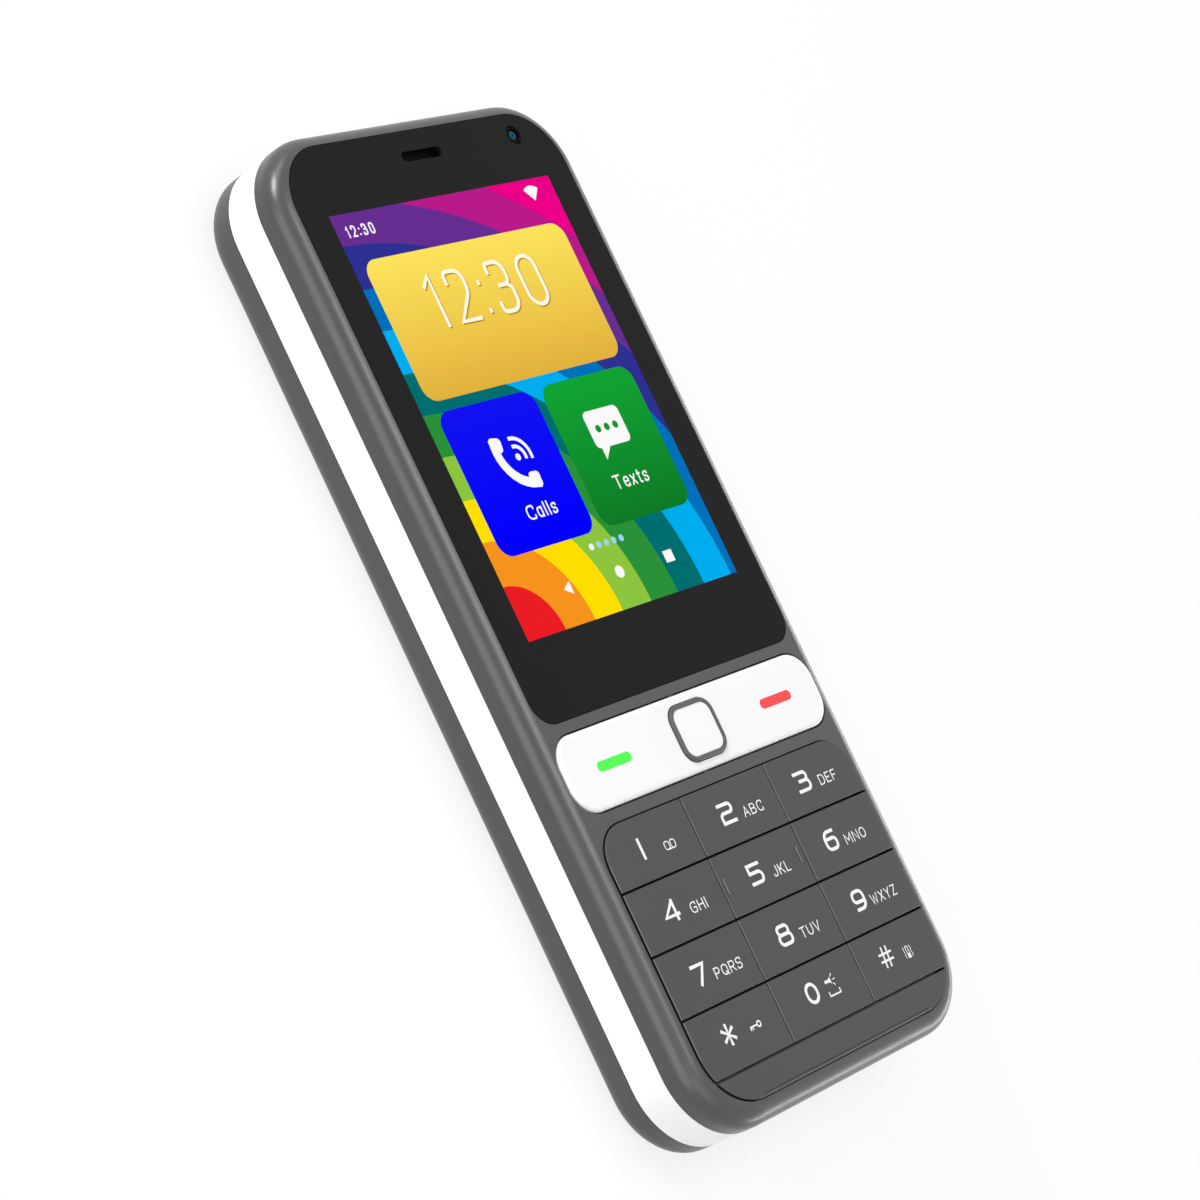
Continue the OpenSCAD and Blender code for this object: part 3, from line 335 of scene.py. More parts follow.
LETTERS = {
    "A": (0.82, [[(0, 0), (0.5, 1), (1, 0)], [(0.19, 0.34), (0.81, 0.34)]]),
    "B": (0.76, [STEM, [(0, 1), (0.92, 1, 0.22), (0.92, 0.53, 0.22), (0, 0.53)],
                 [(0, 0.53), (1, 0.53, 0.24), (1, 0, 0.24), (0, 0)]]),
    "C": (0.8, [[(1, 0.78), (1, 1, 0.36), (0, 1, 0.36), (0, 0, 0.36), (1, 0, 0.36), (1, 0.22)]]),
    "D": (0.8, [STEM, [(0, 1), (1, 1, 0.42), (1, 0, 0.42), (0, 0)]]),
    "E": (0.66, [[(1, 1), (0, 1), (0, 0), (1, 0)], [(0, 0.52), (0.86, 0.52)]]),
    "F": (0.64, [[(1, 1), (0, 1), (0, 0)], [(0, 0.5), (0.86, 0.5)]]),
    "G": (0.84, [[(1, 0.8), (1, 1, 0.36), (0, 1, 0.36), (0, 0, 0.36), (1, 0, 0.3), (1, 0.48), (0.58, 0.48)]]),
    "H": (0.8, [STEM, [(1, 0), (1, 1)], [(0, 0.52), (1, 0.52)]]),
    "I": (0.14, [[(0.5, 0), (0.5, 1)]]),
    "J": (0.6, [[(1, 1), (1, 0, 0.32), (0, 0, 0.32), (0, 0.22)]]),
    "K": (0.76, [STEM, [(0.95, 1), (0.05, 0.4)], [(0.36, 0.6), (0.98, 0)]]),
    "L": (0.62, [[(0, 1), (0, 0), (1, 0)]]),
    "M": (0.98, [[(0, 0), (0, 1), (0.5, 0.3), (1, 1), (1, 0)]]),
    "N": (0.84, [[(0, 0), (0, 1), (1, 0), (1, 1)]]),
    "O": (0.86, [OVAL]),
    "P": (0.74, [STEM, BOWL]),
    "Q": (0.86, [OVAL, [(0.62, 0.26), (1.02, -0.06)]]),
    "R": (0.76, [STEM, BOWL, [(0.5, 0.45), (0.98, 0)]]),
    "S": (0.72, [[(1, 0.82), (1, 1, 0.23), (0, 1, 0.23), (0, 0.52, 0.23), (1, 0.52, 0.23), (1, 0, 0.23),
                  (0, 0, 0.23), (0, 0.18)]]),
    "T": (0.76, [[(0, 1), (1, 1)], [(0.5, 1), (0.5, 0)]]),
    "U": (0.8, [[(0, 1), (0, 0, 0.36), (1, 0, 0.36), (1, 1)]]),
    "V": (0.8, [[(0, 1), (0.5, 0), (1, 1)]]),
    "W": (1.04, [[(0, 1), (0.26, 0), (0.5, 0.85), (0.74, 0), (1, 1)]]),
    "X": (0.72, [[(0, 0), (1, 1)], [(0, 1), (1, 0)]]),
    "Y": (0.72, [[(0, 1), (0.5, 0.48), (1, 1)], [(0.5, 0.48), (0.5, 0)]]),
    "Z": (0.7, [[(0, 1), (1, 1), (0, 0), (1, 0)]]),
    "a": (0.56, [[(0, 0, 0.28), (1, 0, 0.28), (1, 0.72, 0.28), (0, 0.72, 0.28), (0, 0, 0.28)],
                 [(1, 0.72), (1, 0)]]),
    "e": (0.56, [[(0, 0.38), (1, 0.38)],
                 [(1, 0.38), (1, 0.72, 0.28), (0, 0.72, 0.28), (0, 0, 0.28), (1, 0, 0.28), (1, 0.14)]]),
    "l": (0.13, [[(0.5, 0), (0.5, 1)]]),
    "s": (0.5, [[(1, 0.6), (1, 0.72, 0.17), (0, 0.72, 0.17), (0, 0.37, 0.17), (1, 0.37, 0.17), (1, 0, 0.17),
                 (0, 0, 0.17), (0, 0.12)]]),
    "t": (0.38, [[(0.4, 0.95), (0.4, 0, 0.2), (1, 0)], [(0, 0.72), (0.95, 0.72)]]),
    "x": (0.52, [[(0, 0), (1, 0.72)], [(0, 0.72), (1, 0)]]),
}

KEY_DIGITS = {
    "1": (0.17, [[(0.5, 0), (0.5, 1)]]),
    "2": (1.04, [[(0, 1), (1, 1, 0.28), (1, 0.53, 0.2), (0, 0.53, 0.2), (0, 0), (1, 0)]]),
    "3": (1.06, [[(0, 1), (0.95, 1, 0.25), (0.95, 0.54, 0.2), (0.28, 0.54)],
                 [(0.28, 0.54), (1, 0.54, 0.2), (1, 0, 0.27), (0, 0)]]),
    "4": (1.08, [[(0.82, 0), (0.82, 1)], [(0.8, 0.96), (0.02, 0.24), (1, 0.24)]]),
    "5": (1.04, [[(0.97, 1), (0.04, 1), (0.04, 0.57), (1, 0.57, 0.26), (1, 0, 0.27), (0, 0)]]),
    "6": (0.97, [[(0.92, 1), (0.02, 1, 0.36), (0.02, 0, 0.27), (1, 0, 0.27), (1, 0.6, 0.25), (0.5, 0.6)],
                 [(0.5, 0.6), (0.02, 0.6)]]),
    "7": (0.98, [[(0, 1), (1, 1), (0.3, 0)]]),
    "8": (1.06, [[(0.07, 1, 0.22), (0.93, 1, 0.22), (0.93, 0.54, 0.2), (0.07, 0.54, 0.2), (0.07, 1, 0.22)],
                 [(0, 0.54, 0.2), (1, 0.54, 0.2), (1, 0, 0.25), (0, 0, 0.25), (0, 0.54, 0.2)]]),
    "9": (0.97, [[(0.08, 0), (0.98, 0, 0.36), (0.98, 1, 0.27), (0, 1, 0.27), (0, 0.4, 0.25), (0.5, 0.4)],
                 [(0.5, 0.4), (0.98, 0.4)]]),
    "0": (0.9, [OVAL]),
}

CLOCK_DIGITS = {
    "1": (0.3, [[(0, 0.8), (0.8, 1), (0.8, 0)]]),
    "2": (0.54, [[(0.02, 0.78), (0.02, 1, 0.24), (1, 1, 0.24), (1, 0.56, 0.3), (0, 0), (1, 0)]]),
    "3": (0.54, [[(0, 0.82), (0, 1, 0.24), (0.95, 1, 0.24), (0.95, 0.53, 0.24), (0.36, 0.53)],
                 [(0.36, 0.53), (1, 0.53, 0.25), (1, 0, 0.25), (0, 0, 0.25), (0, 0.18)]]),
    "0": (0.56, [OVAL]),
    ":": (0.08, [[(0.5, 0.09), (0.5, 0.1)], [(0.5, 0.66), (0.5, 0.67)]]),
}


def glyph(lines, left, base, width, height, pen, low, high):
    """The strokes of one letter or digit in the box that starts at its left edge and base line."""
    shells = []
    for points in lines:
        closed = points[0] == points[-1]
        placed = []
        for point in points[:-1] if closed else points:
            x = left + pen / 2 + point[0] * (width - pen)
            y = base + pen / 2 + point[1] * (height - pen)
            placed.append((x, y, point[2] * height) if len(point) > 2 else (x, y))
        shells.append(stroke(rounded(placed, closed), pen, low, high, closed))
    return shells


def line_width(text, glyphs, height, pen, gap):
    """Width of a line of letters."""
    return sum(max(glyphs[c][0] * height, pen) for c in text) + gap * (len(text) - 1)


def written(text, glyphs, left, base, height, pen, gap, low, high):
    """The strokes of a line of letters that starts at a left edge."""
    shells = []
    for c in text:
        share, lines = glyphs[c]
        width = max(share * height, pen)
        shells += glyph(lines, left, base, width, height, pen, low, high)
        left += width + gap
    return shells


def written_about(text, glyphs, middle, base, height, pen, gap, low, high):
    """The strokes of a line of letters about a middle."""
    left = middle - line_width(text, glyphs, height, pen, gap) / 2
    return written(text, glyphs, left, base, height, pen, gap, low, high)


# Meshes


def mesh_of(name, shells):
    """One mesh of closed shells, in metres."""
    points, faces = [], []
    for shell_points, shell_faces in shells:
        start = len(points)
        points += shell_points
        faces += [tuple(start + i for i in face) for face in shell_faces]
    mesh = bpy.data.meshes.new(name)
    mesh.from_pydata([Vector(p) * MM for p in points], [], faces)
    mesh.validate()
    return mesh


def fused(thing, shells):
    """Fuses overlapping shells into the mesh of a piece, so that no faces are left inside it."""
    tools = bpy.data.collections.new(thing.name + "_strokes")
    for i, shell in enumerate(shells):
        tools.objects.link(bpy.data.objects.new(f"{thing.name}_{i}", mesh_of("stroke", [shell])))
    fuse = thing.modifiers.new("Fuse", "BOOLEAN")
    fuse.operation = "UNION"
    fuse.operand_type = "COLLECTION"
    fuse.collection = tools
    fuse.solver = "MANIFOLD"
    graph = bpy.context.evaluated_depsgraph_get()
    mesh = bpy.data.meshes.new_from_object(thing.evaluated_get(graph))
    thing.modifiers.clear()
    clean = bmesh.new()
    clean.from_mesh(mesh)
    bmesh.ops.dissolve_degenerate(clean, dist=WELD_GAP, edges=clean.edges)
    clean.to_mesh(mesh)
    clean.free()
    thing.data = mesh
    for tool in list(tools.objects):
        bpy.data.meshes.remove(tool.data)
    bpy.data.collections.remove(tools)


def make_piece(name, shells, material, body, smooth_degrees=0):
    """A finished piece of the phone, riding on the body that carries it."""
    if not shells:
        raise RuntimeError(f"{name} has no shape")
    piece = bpy.data.objects.new(name, mesh_of(name, shells[:1]))
    bpy.context.scene.collection.objects.link(piece)
    if len(shells) > 1:
        fused(piece, shells[1:])
    if not piece.data.polygons:
        raise RuntimeError(f"{name} has no faces")
    if smooth_degrees:
        piece.data.shade_smooth()
        piece.data.set_sharp_from_angle(angle=math.radians(smooth_degrees))
    piece.data.materials.clear()
    piece.data.materials.append(material)
    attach(piece, body)
    return piece


def dress(material, *nodes):
    """Gives CAD nodes their finish."""
    for node in nodes:
        if node not in frame["nodes"]:
            raise RuntimeError(f"the frame has no node {node}")
        slots = frame["nodes"][node].data.materials
        slots.clear()
        slots.append(material)


def softened(width, *nodes):
    """Rounds the edges of CAD nodes, as a mould's edges are, so that they catch the light."""
    for node in nodes:
        thing = frame["nodes"][node]
        thing.modifiers.new("Weld", "WELD").merge_threshold = WELD_GAP
        plain = thing.modifiers.new("Plain faces", "DECIMATE")
        plain.decimate_type = "DISSOLVE"
        plain.angle_limit = math.radians(PLAIN_ANGLE)
        edges = thing.modifiers.new("Edges", "BEVEL")
        edges.width = width
        edges.segments = EDGE_STEPS
        edges.limit_method = "ANGLE"
        edges.angle_limit = math.radians(EDGE_ANGLE)
        edges.harden_normals = True
        thing.modifiers.new("Slivers", "WELD").merge_threshold = WELD_GAP


# Shader nodes


def rgba(colour):
    """A shader's colour from an sRGB code or a linear colour."""
    return (*(linear(colour) if isinstance(colour, str) else colour), 1)


def feed(tree, socket, value):
    """Links an output to a socket, or sets a plain value there."""
    if isinstance(value, bpy.types.NodeSocket):
        tree.links.new(value, socket)
    else:
        socket.default_value = value


def feed_named(tree, made, **values):
    """Feeds inputs of a node by their names."""
    for socket, value in values.items():
        feed(tree, made.inputs[socket.replace("_", " ")], value)
    return made


def add_node(tree, kind, *values, **settings):
    """A shader node with its settings, and its open inputs fed in their order."""
    made = tree.nodes.new(f"ShaderNode{kind}")
    for setting, value in settings.items():
        setattr(made, setting, value)
    for socket, value in zip([s for s in made.inputs if s.enabled], values):
        feed(tree, socket, value)
    return made


def result(tree, kind, *values, **settings):
    """The first open output of a new shader node."""
    made = add_node(tree, kind, *values, **settings)
    return next(s for s in made.outputs if s.enabled)


def math_of(tree, operation, *values):
    """The result of a sum with numbers."""
    return result(tree, "Math", *values, operation=operation)


def vector_of(tree, operation, *values):
    """The result of a sum with places or colours."""
    return result(tree, "VectorMath", *values, operation=operation)


def place_on(tree):
    """Where a point is on its piece, in metres."""
    return add_node(tree, "TexCoord").outputs["Object"]


def axis_of(tree, vector, axis):
    """One number of a place or a direction."""
    return add_node(tree, "SeparateXYZ", vector).outputs[axis]


def reach_from(tree, x, y):
    """How far a point is from an upright axis, in metres."""
    offset = vector_of(tree, "SUBTRACT", place_on(tree), (x * MM, y * MM, 0))
    return vector_of(tree, "LENGTH", vector_of(tree, "MULTIPLY", offset, (1, 1, 0)))


def noise(tree, scale, detail, place=None):
    """The value of a noise, over the piece or over places of its own."""
    return result(tree, "TexNoise", place_on(tree) if place is None else place, scale, detail)


def spread_about(tree, value, middle, spread):
    """A noise's value spread about a middle: middle + (value - 0.5) * spread."""
    return math_of(tree, "MULTIPLY_ADD", math_of(tree, "SUBTRACT", value, 0.5), spread, middle)


def tinted(tree, colour, value, spread):
    """A colour made lighter and darker by a noise's value."""
    return vector_of(tree, "SCALE", colour, spread_about(tree, value, 1.0, spread))


def ramp(tree, share, stops, interpolation="LINEAR"):
    """A colour from a row of stops, each with its share and its colour."""
    made = add_node(tree, "ValToRGB", share)
    made.color_ramp.interpolation = interpolation
    elements = made.color_ramp.elements
    elements[0].position, elements[1].position = stops[0][0], stops[-1][0]
    for position, _ in stops[1:-1]:
        elements.new(position)
    for element, (_, colour) in zip(elements, stops):
        element.color = rgba(colour)
    return made.outputs["Color"]


# Effects that several finishes share. Each becomes a node group: it places the group's nodes, takes the group's
# inputs and gives what the group puts out.

BLACK, WHITE, GREY = "#000000", "#ffffff", (0.5, 0.5, 0.5)
# Scale in waves per metre and detail of each noise
FLOW_NOISE, GLOSS_NOISE, LINE_NOISE, WIPE_NOISE = (90.0, 3.0), (260.0, 4.0), (700.0, 4.0), (45.0, 5.0)
GRAIN_SCALE, GRAIN_DETAIL = 5000.0, 2.0
# How strongly a painted highlight lightens a surface at each lean, which is the sideways part of its normal
EDGE_HIGHLIGHT_LEANS = ((0.1, BLACK), (0.3, WHITE), (0.9, WHITE), (0.99, BLACK))
# Depths under the keys' faces, in millimetres, between which painted shade darkens the slits, and how dark
SLIT_DEPTHS, SLIT_SHADE = (0.09, 0.17), 0.1
# Half the width of the lines between a lit panel's pixels, as a share of a pixel
RASTER_LINE = 0.06
# How much finer the lines of rolled metal are along each axis
ROLLED = (1, 14, 1)


def moulded_surface(tree, given):
    """Moulded plastic: fine spark texture, a slow change of tone and an uneven gloss."""
    colour = tinted(tree, given["Colour"], noise(tree, *FLOW_NOISE), given["Tone Spread"])
    roughness = spread_about(tree, noise(tree, *GLOSS_NOISE), given["Roughness"], given["Gloss Spread"])
    return colour, roughness, noise(tree, given["Grain Scale"], GRAIN_DETAIL)


def rubbed_edges(tree, given):
    """Painted highlights on edges: lighter where a surface leans sideways, and on walls above the keys' faces.

    Deep in the slits the colour goes dark with painted shade.
    """
    lean = math_of(tree, "ABSOLUTE", axis_of(tree, add_node(tree, "TexCoord").outputs["Normal"], "X"))
    height = axis_of(tree, place_on(tree), "Z")
    above = math_of(tree, "GREATER_THAN", height, given["Face Height"])
    wall = math_of(tree, "MULTIPLY_ADD", math_of(tree, "MULTIPLY", above, lean), given["Wall Lift"], 1.0)
    gain = math_of(tree, "MULTIPLY_ADD", ramp(tree, lean, EDGE_HIGHLIGHT_LEANS), given["Lift"], wall)
    depth = math_of(tree, "SUBTRACT", given["Face Height"], height)
    shade = result(tree, "MapRange", depth, *(d * MM for d in SLIT_DEPTHS), 1.0, SLIT_SHADE)
    return (vector_of(tree, "SCALE", given["Colour"], math_of(tree, "MULTIPLY", gain, shade)),)


def brushed_lines(tree, given):
    """Rolled or brushed sheet metal: fine lines along one direction."""
    lines = noise(tree, *LINE_NOISE, vector_of(tree, "MULTIPLY", place_on(tree), given["Stretch"]))
    colour = tinted(tree, given["Colour"], lines, given["Tone Spread"])
    return colour, spread_about(tree, lines, given["Roughness"], given["Gloss Spread"]), lines


def wiped_glass(tree, given):
    """Glass that has been wiped: a gloss that changes a little from place to place."""
    return (spread_about(tree, noise(tree, *WIPE_NOISE), given["Roughness"], given["Gloss Spread"]),)


def downward_blend(tree, given):
    """A colour that runs from one at the top edge to another at the bottom edge."""
    share = result(tree, "MapRange", axis_of(tree, place_on(tree), "Y"), given["Bottom Edge"], given["Top Edge"])
    return (result(tree, "Mix", share, given["Foot"], given["Top"], data_type="RGBA"),)


def pixel_raster(tree, given):
    """A lit panel's pixels: a colour with fine darker lines between them."""
    cells = feed_named(
        tree, add_node(tree, "TexBrick", place_on(tree), offset=0.0), Scale=given["Pixels per Metre"],
        Mortar_Size=RASTER_LINE, Brick_Width=1.0, Row_Height=1.0,
    )
    dimming = math_of(tree, "MULTIPLY", cells.outputs["Fac"], given["Line Depth"])
    return (vector_of(tree, "SCALE", given["Colour"], math_of(tree, "SUBTRACT", 1.0, dimming)),)


# Each effect's inputs, with their values where a finish gives none, and its outputs
EFFECTS = {
    moulded_surface: (
        {"Colour": rgba(GREY), "Tone Spread": 0.06, "Grain Scale": GRAIN_SCALE, "Roughness": 0.4, "Gloss Spread": 0.1},
        ("Colour", "Roughness", "Height"),
    ),
    rubbed_edges: ({"Colour": rgba(GREY), "Lift": 1.0, "Wall Lift": 1.0, "Face Height": 0.0}, ("Colour",)),
    brushed_lines: (
        {"Colour": rgba(GREY), "Tone Spread": 0.2, "Stretch": ROLLED, "Roughness": 0.3, "Gloss Spread": 0.2},
        ("Colour", "Roughness", "Height"),
    ),
    wiped_glass: ({"Roughness": 0.12, "Gloss Spread": 0.06}, ("Roughness",)),
    downward_blend: (
        {"Top": rgba(WHITE), "Foot": rgba(BLACK), "Top Edge": 0.01, "Bottom Edge": 0.0}, ("Colour",),
    ),
    pixel_raster: ({"Colour": rgba(WHITE), "Pixels per Metre": 5600.0, "Line Depth": 0.08}, ("Colour",)),
}


def effect_group(effect):
    """The node group of an effect, built the first time that it is asked for."""
    name = effect.__name__.replace("_", " ").capitalize()
    if name in bpy.data.node_groups:
        return bpy.data.node_groups[name]
    group = bpy.data.node_groups.new(name, "ShaderNodeTree")
    inputs, outputs = EFFECTS[effect]
    for socket, default in inputs.items():
        kind = "Float" if isinstance(default, float) else "Color" if len(default) == 4 else "Vector"
        made = group.interface.new_socket(name=socket, in_out="INPUT", socket_type=f"NodeSocket{kind}")
        made.default_value = default
    for socket in outputs:
        kind = "Color" if socket == "Colour" else "Float"
        group.interface.new_socket(name=socket, in_out="OUTPUT", socket_type=f"NodeSocket{kind}")
    given, out = group.nodes.new("NodeGroupInput"), group.nodes.new("NodeGroupOutput")
    for socket, value in zip(outputs, effect(group, given.outputs)):
        group.links.new(value, out.inputs[socket])
    return group


def placed(tree, effect, **values):
    """The outputs of an effect that is placed in a material with its own values."""
    made = tree.nodes.new("ShaderNodeGroup")
    made.node_tree = effect_group(effect)
    return feed_named(tree, made, **values).outputs


# Finishes

# Height of the relief of grain and lines, and of the board's tracks, in metres
GRAIN_DEPTH, TRACK_DEPTH = 2e-5, 3e-5
# How strongly the front lens mirrors
LENS_SPECULAR = 0.05
# Columns of pixels of the panel
PANEL_COLUMNS = 240
# Rings of the picture from the corner outwards, and the share of its diagonal at which the second and the last start
PICTURE_COLOURS = (
    "#ed1c24", "#f7941d", "#ffe000", "#8dc63f", "#2a9238", "#006f70", "#00aeef", "#0071bc", "#2e3192", "#662e91",
    "#b91a8a", "#ee0089",
)
PICTURE_FIRST, PICTURE_LAST = 0.1, 0.9
# Colours of a camera's glass from its middle out, with the share of its radius at which each is met
# The near-black stops are the glass's own colour; the blue and teal rings are a painted reflection of its coating
CAMERA_GLASS_AND_GLINT_RINGS = (
    (0.0, "#03070b"), (0.14, "#0a2436"), (0.3, "#14627e"), (0.42, "#0e3a58"), (0.56, "#040608"), (0.8, "#020202"),
)
# Thickness of the yellow layer on the torch's chip in millimetres, and the colours of the layer and its holder
PHOSPHOR = 0.5
CHIP_LAYERS = ((0.0, "#e6d35a"), (1.0, "#d8d6cf"))
# Pitch of the battery's contact springs and half the width of one, in millimetres, and the colours of block and spring
CONTACT_PITCH, CONTACT_HALF = 3.0, 0.6
CONTACT_COLOURS = ((0.0, "#161616"), (1.0, "#d8b15c"))
# Colour of the torch's window and how much of the light goes through it
FROST_COLOUR, FROST_CLEARNESS = (0.9, 0.9, 0.86), 0.55
# The board's solder mask: its two greens, the green of its tracks, their pattern's scale and their width in it
MASK_GREENS, TRACK_GREEN, TRACK_SCALE, TRACK_WIDTH = ("#17603a", "#145533"), "#2b8154", 300.0, 0.04


def new_material(name):
    """A material with its node tree and its shader."""
    material = bpy.data.materials.new(name)
    material.use_nodes = True
    return material, material.node_tree, material.node_tree.nodes["Principled BSDF"]


def bumped(tree, shader, height, strength, depth=GRAIN_DEPTH):
    """Lets a height show as relief."""
    bump = feed_named(tree, add_node(tree, "Bump", strength, depth), Height=height)
    feed_named(tree, shader, Normal=bump.outputs["Normal"])


def clad(tree, shader, effect, *, relief, **values):
    """Gives a shader the colour, the gloss and the relief of an effect."""
    surface = placed(tree, effect, **values)
    feed_named(tree, shader, Base_Color=surface["Colour"], Roughness=surface["Roughness"])
    bumped(tree, shader, surface["Height"], relief)
    return surface


def plastic(name, colour, roughness, grain=GRAIN_SCALE, relief=0.05, tone=0.05, specular=0.5, edge_light_and_shade=None):
    """A moulded plastic. Where given, the last argument holds the values of its painted edge highlights and painted
    slit shade.
    """
    material, tree, shader = new_material(name)
    surface = clad(
        tree, shader, moulded_surface, relief=relief, Colour=rgba(colour), Tone_Spread=tone, Grain_Scale=grain,
        Roughness=roughness,
    )
    # Painted highlights on sideways edges and painted shade deep in the slits, over the plastic's own colour
    if edge_light_and_shade:
        edges = placed(tree, rubbed_edges, Colour=surface["Colour"], **edge_light_and_shade)
        feed_named(tree, shader, Base_Color=edges["Colour"])
    feed_named(tree, shader, Specular_IOR_Level=specular)
    return material


def metal(name, colour, roughness, stretch=ROLLED):
    """A sheet metal with fine rolling lines."""
    material, tree, shader = new_material(name)
    clad(
        tree, shader, brushed_lines, relief=0.04, Colour=rgba(colour), Stretch=stretch, Roughness=roughness
    )
    feed_named(tree, shader, Metallic=1.0)
    return material


def lit(name, paint, strength=1.0):
    """A lit part of the screen. paint gives its colour, and may place nodes in the tree for it."""
    material, tree, shader = new_material(name)
    low, high = node_box("display_lens")
    width = high.x - low.x - 2 * millimetres(bpy.context.scene.phone_screen.side)
    raster = placed(tree, pixel_raster, Colour=paint(tree), Pixels_per_Metre=PANEL_COLUMNS / (width * MM))
    feed_named(
        tree, shader, Base_Color=rgba(BLACK), Specular_IOR_Level=0.0, Emission_Color=raster["Colour"],
        Emission_Strength=strength,
    )
    return material


def lit_plain(name, colour, strength=1.0):
    """A lit mark of one colour."""
    return lit(name, lambda tree: rgba(colour), strength)


def lit_blend(name, top, foot, high, low):
    """A lit tile that runs from one colour at its top edge to another at its bottom edge."""
    values = {"Top": rgba(top), "Foot": rgba(foot), "Top_Edge": high * MM, "Bottom_Edge": low * MM}
    return lit(name, lambda tree: placed(tree, downward_blend, **values)["Colour"])


def lit_picture(left, low, right, high):
    """Rainbow rings about the picture's lower left corner."""
    step = (PICTURE_LAST - PICTURE_FIRST) / (len(PICTURE_COLOURS) - 2)
    starts = [0.0, *(PICTURE_FIRST + step * i for i in range(len(PICTURE_COLOURS) - 1))]
    diagonal = math.hypot(right - left, high - low) * MM

    def rings(tree):
        share = math_of(tree, "DIVIDE", reach_from(tree, left, low), diagonal)
        return ramp(tree, share, list(zip(starts, PICTURE_COLOURS)), "CONSTANT")

    return lit("lit picture", rings)


def lens_glass(colour):
    """The front lens: black print behind smooth glass."""
    material, tree, shader = new_material("front lens")
    glass = placed(tree, wiped_glass, Roughness=0.14)
    feed_named(
        tree, shader, Base_Color=rgba(colour), Roughness=glass["Roughness"], Specular_IOR_Level=LENS_SPECULAR
    )
    return material


def camera_glass(name, centre, radius, specular):
    """Coated glass whose colour changes in rings from its middle, with blue and teal rings of painted reflection."""
    material, tree, shader = new_material(name)
    share = math_of(tree, "DIVIDE", reach_from(tree, *centre), radius * MM)
    glass = placed(tree, wiped_glass, Roughness=0.06, Gloss_Spread=0.03)
    feed_named(
        tree, shader, Base_Color=ramp(tree, share, CAMERA_GLASS_AND_GLINT_RINGS), Roughness=glass["Roughness"],
        Specular_IOR_Level=specular,
    )
    return material


def frosted_clear():
    """The torch's frosted clear window."""
    material, tree, shader = new_material("frosted clear")
    clad(
        tree, shader, moulded_surface, relief=0.2, Colour=rgba(FROST_COLOUR), Tone_Spread=0.05,
        Grain_Scale=4000.0, Roughness=0.32,
    )
    feed_named(tree, shader, Transmission_Weight=FROST_CLEARNESS)
    return material


def torch_chip():
    """The torch's chip: a pale ceramic holder with a yellow layer on its outer end."""
    material, tree, shader = new_material("torch chip")
    low = node_box("torch_led")[0].z
    share = result(tree, "MapRange", axis_of(tree, place_on(tree), "Z"), low * MM, (low + PHOSPHOR) * MM)
    colour = ramp(tree, share, CHIP_LAYERS, "CONSTANT")
    clad(tree, shader, moulded_surface, relief=0.05, Colour=colour, Roughness=0.55)
    return material


def contact_block():
    """The battery's contact block: dark plastic with a gilt spring at each contact."""
    material, tree, shader = new_material("contact block")
    from_spring = math_of(tree, "PINGPONG", axis_of(tree, place_on(tree), "X"), CONTACT_PITCH / 2 * MM)
    gilt = math_of(tree, "LESS_THAN", from_spring, CONTACT_HALF * MM)
    colour = ramp(tree, gilt, CONTACT_COLOURS)
    clad(tree, shader, moulded_surface, relief=0.05, Colour=colour, Tone_Spread=0.08, Roughness=0.34)
    feed_named(tree, shader, Metallic=gilt)
    return material


def solder_mask():
    """The main board: green solder mask over fine copper tracks."""
    material, tree, shader = new_material("solder mask")
    tracks = feed_named(
        tree, add_node(tree, "TexBrick", place_on(tree), *map(rgba, MASK_GREENS)), Mortar=rgba(TRACK_GREEN),
        Scale=TRACK_SCALE, Mortar_Size=TRACK_WIDTH,
    )
    surface = placed(
        tree, moulded_surface, Colour=tracks.outputs["Color"], Tone_Spread=0.15, Grain_Scale=3000.0, Roughness=0.32
    )
    feed_named(tree, shader, Base_Color=surface["Colour"], Roughness=surface["Roughness"])
    bumped(tree, shader, tracks.outputs["Fac"], strength=0.15, depth=TRACK_DEPTH)
    return material


# Operators, one for each group of like pieces

KEY_ROWS = (("1", "2", "3"), ("4", "5", "6"), ("7", "8", "9"), ("star", "0", "hash"))
KEY_LETTERS = {"2": "ABC", "3": "DEF", "4": "GHI", "5": "JKL", "6": "MNO", "7": "PQRS", "8": "TUV", "9": "WXYZ"}
KEY_NODES = [f"key_{name}" for row in KEY_ROWS for name in row]


class PHONE_OT_shells(bpy.types.Operator):
    """Finish the front housing, the white band, the back cover and the volume rocker"""

    bl_idname = "phone.shells"
    bl_label = "Shells"

    def execute(self, context):
        finishes = context.scene.phone_finishes
        dress(plastic("body plastic", finishes.body_grey, 0.31, specular=0.8), "front_housing", "volume_rocker")
        dress(plastic("band plastic", finishes.band_white, 0.3, tone=0.02), "mid_frame")
        dress(plastic("cover plastic", finishes.cover_grey, 0.36, relief=0.08), "battery_cover")
        return {"FINISHED"}


class PHONE_OT_lens(bpy.types.Operator):
    """Finish the front lens, what seals it and the earpiece behind its slot"""

    bl_idname = "phone.lens"
    bl_label = "Lens and earpiece"

    def execute(self, context):
        finishes = context.scene.phone_finishes
        dress(lens_glass(finishes.lens_black), "display_lens")
        dress(plastic("gasket foam", "#151515", 0.85, grain=2500.0, relief=0.4), "lens_gasket")
        dress(metal("earpiece mesh", "#0a0a0a", 0.5), "earpiece_mesh")
        dress(plastic("earpiece body", "#141414", 0.5), "earpiece")
        return {"FINISHED"}


# Layers of the picture start this far above the lens and from each other, in thicknesses of a layer
LAYER_START, LAYER_STEP = 0.25, 1.25
# How brightly the white marks are lit
MARK_LEVEL = 0.96

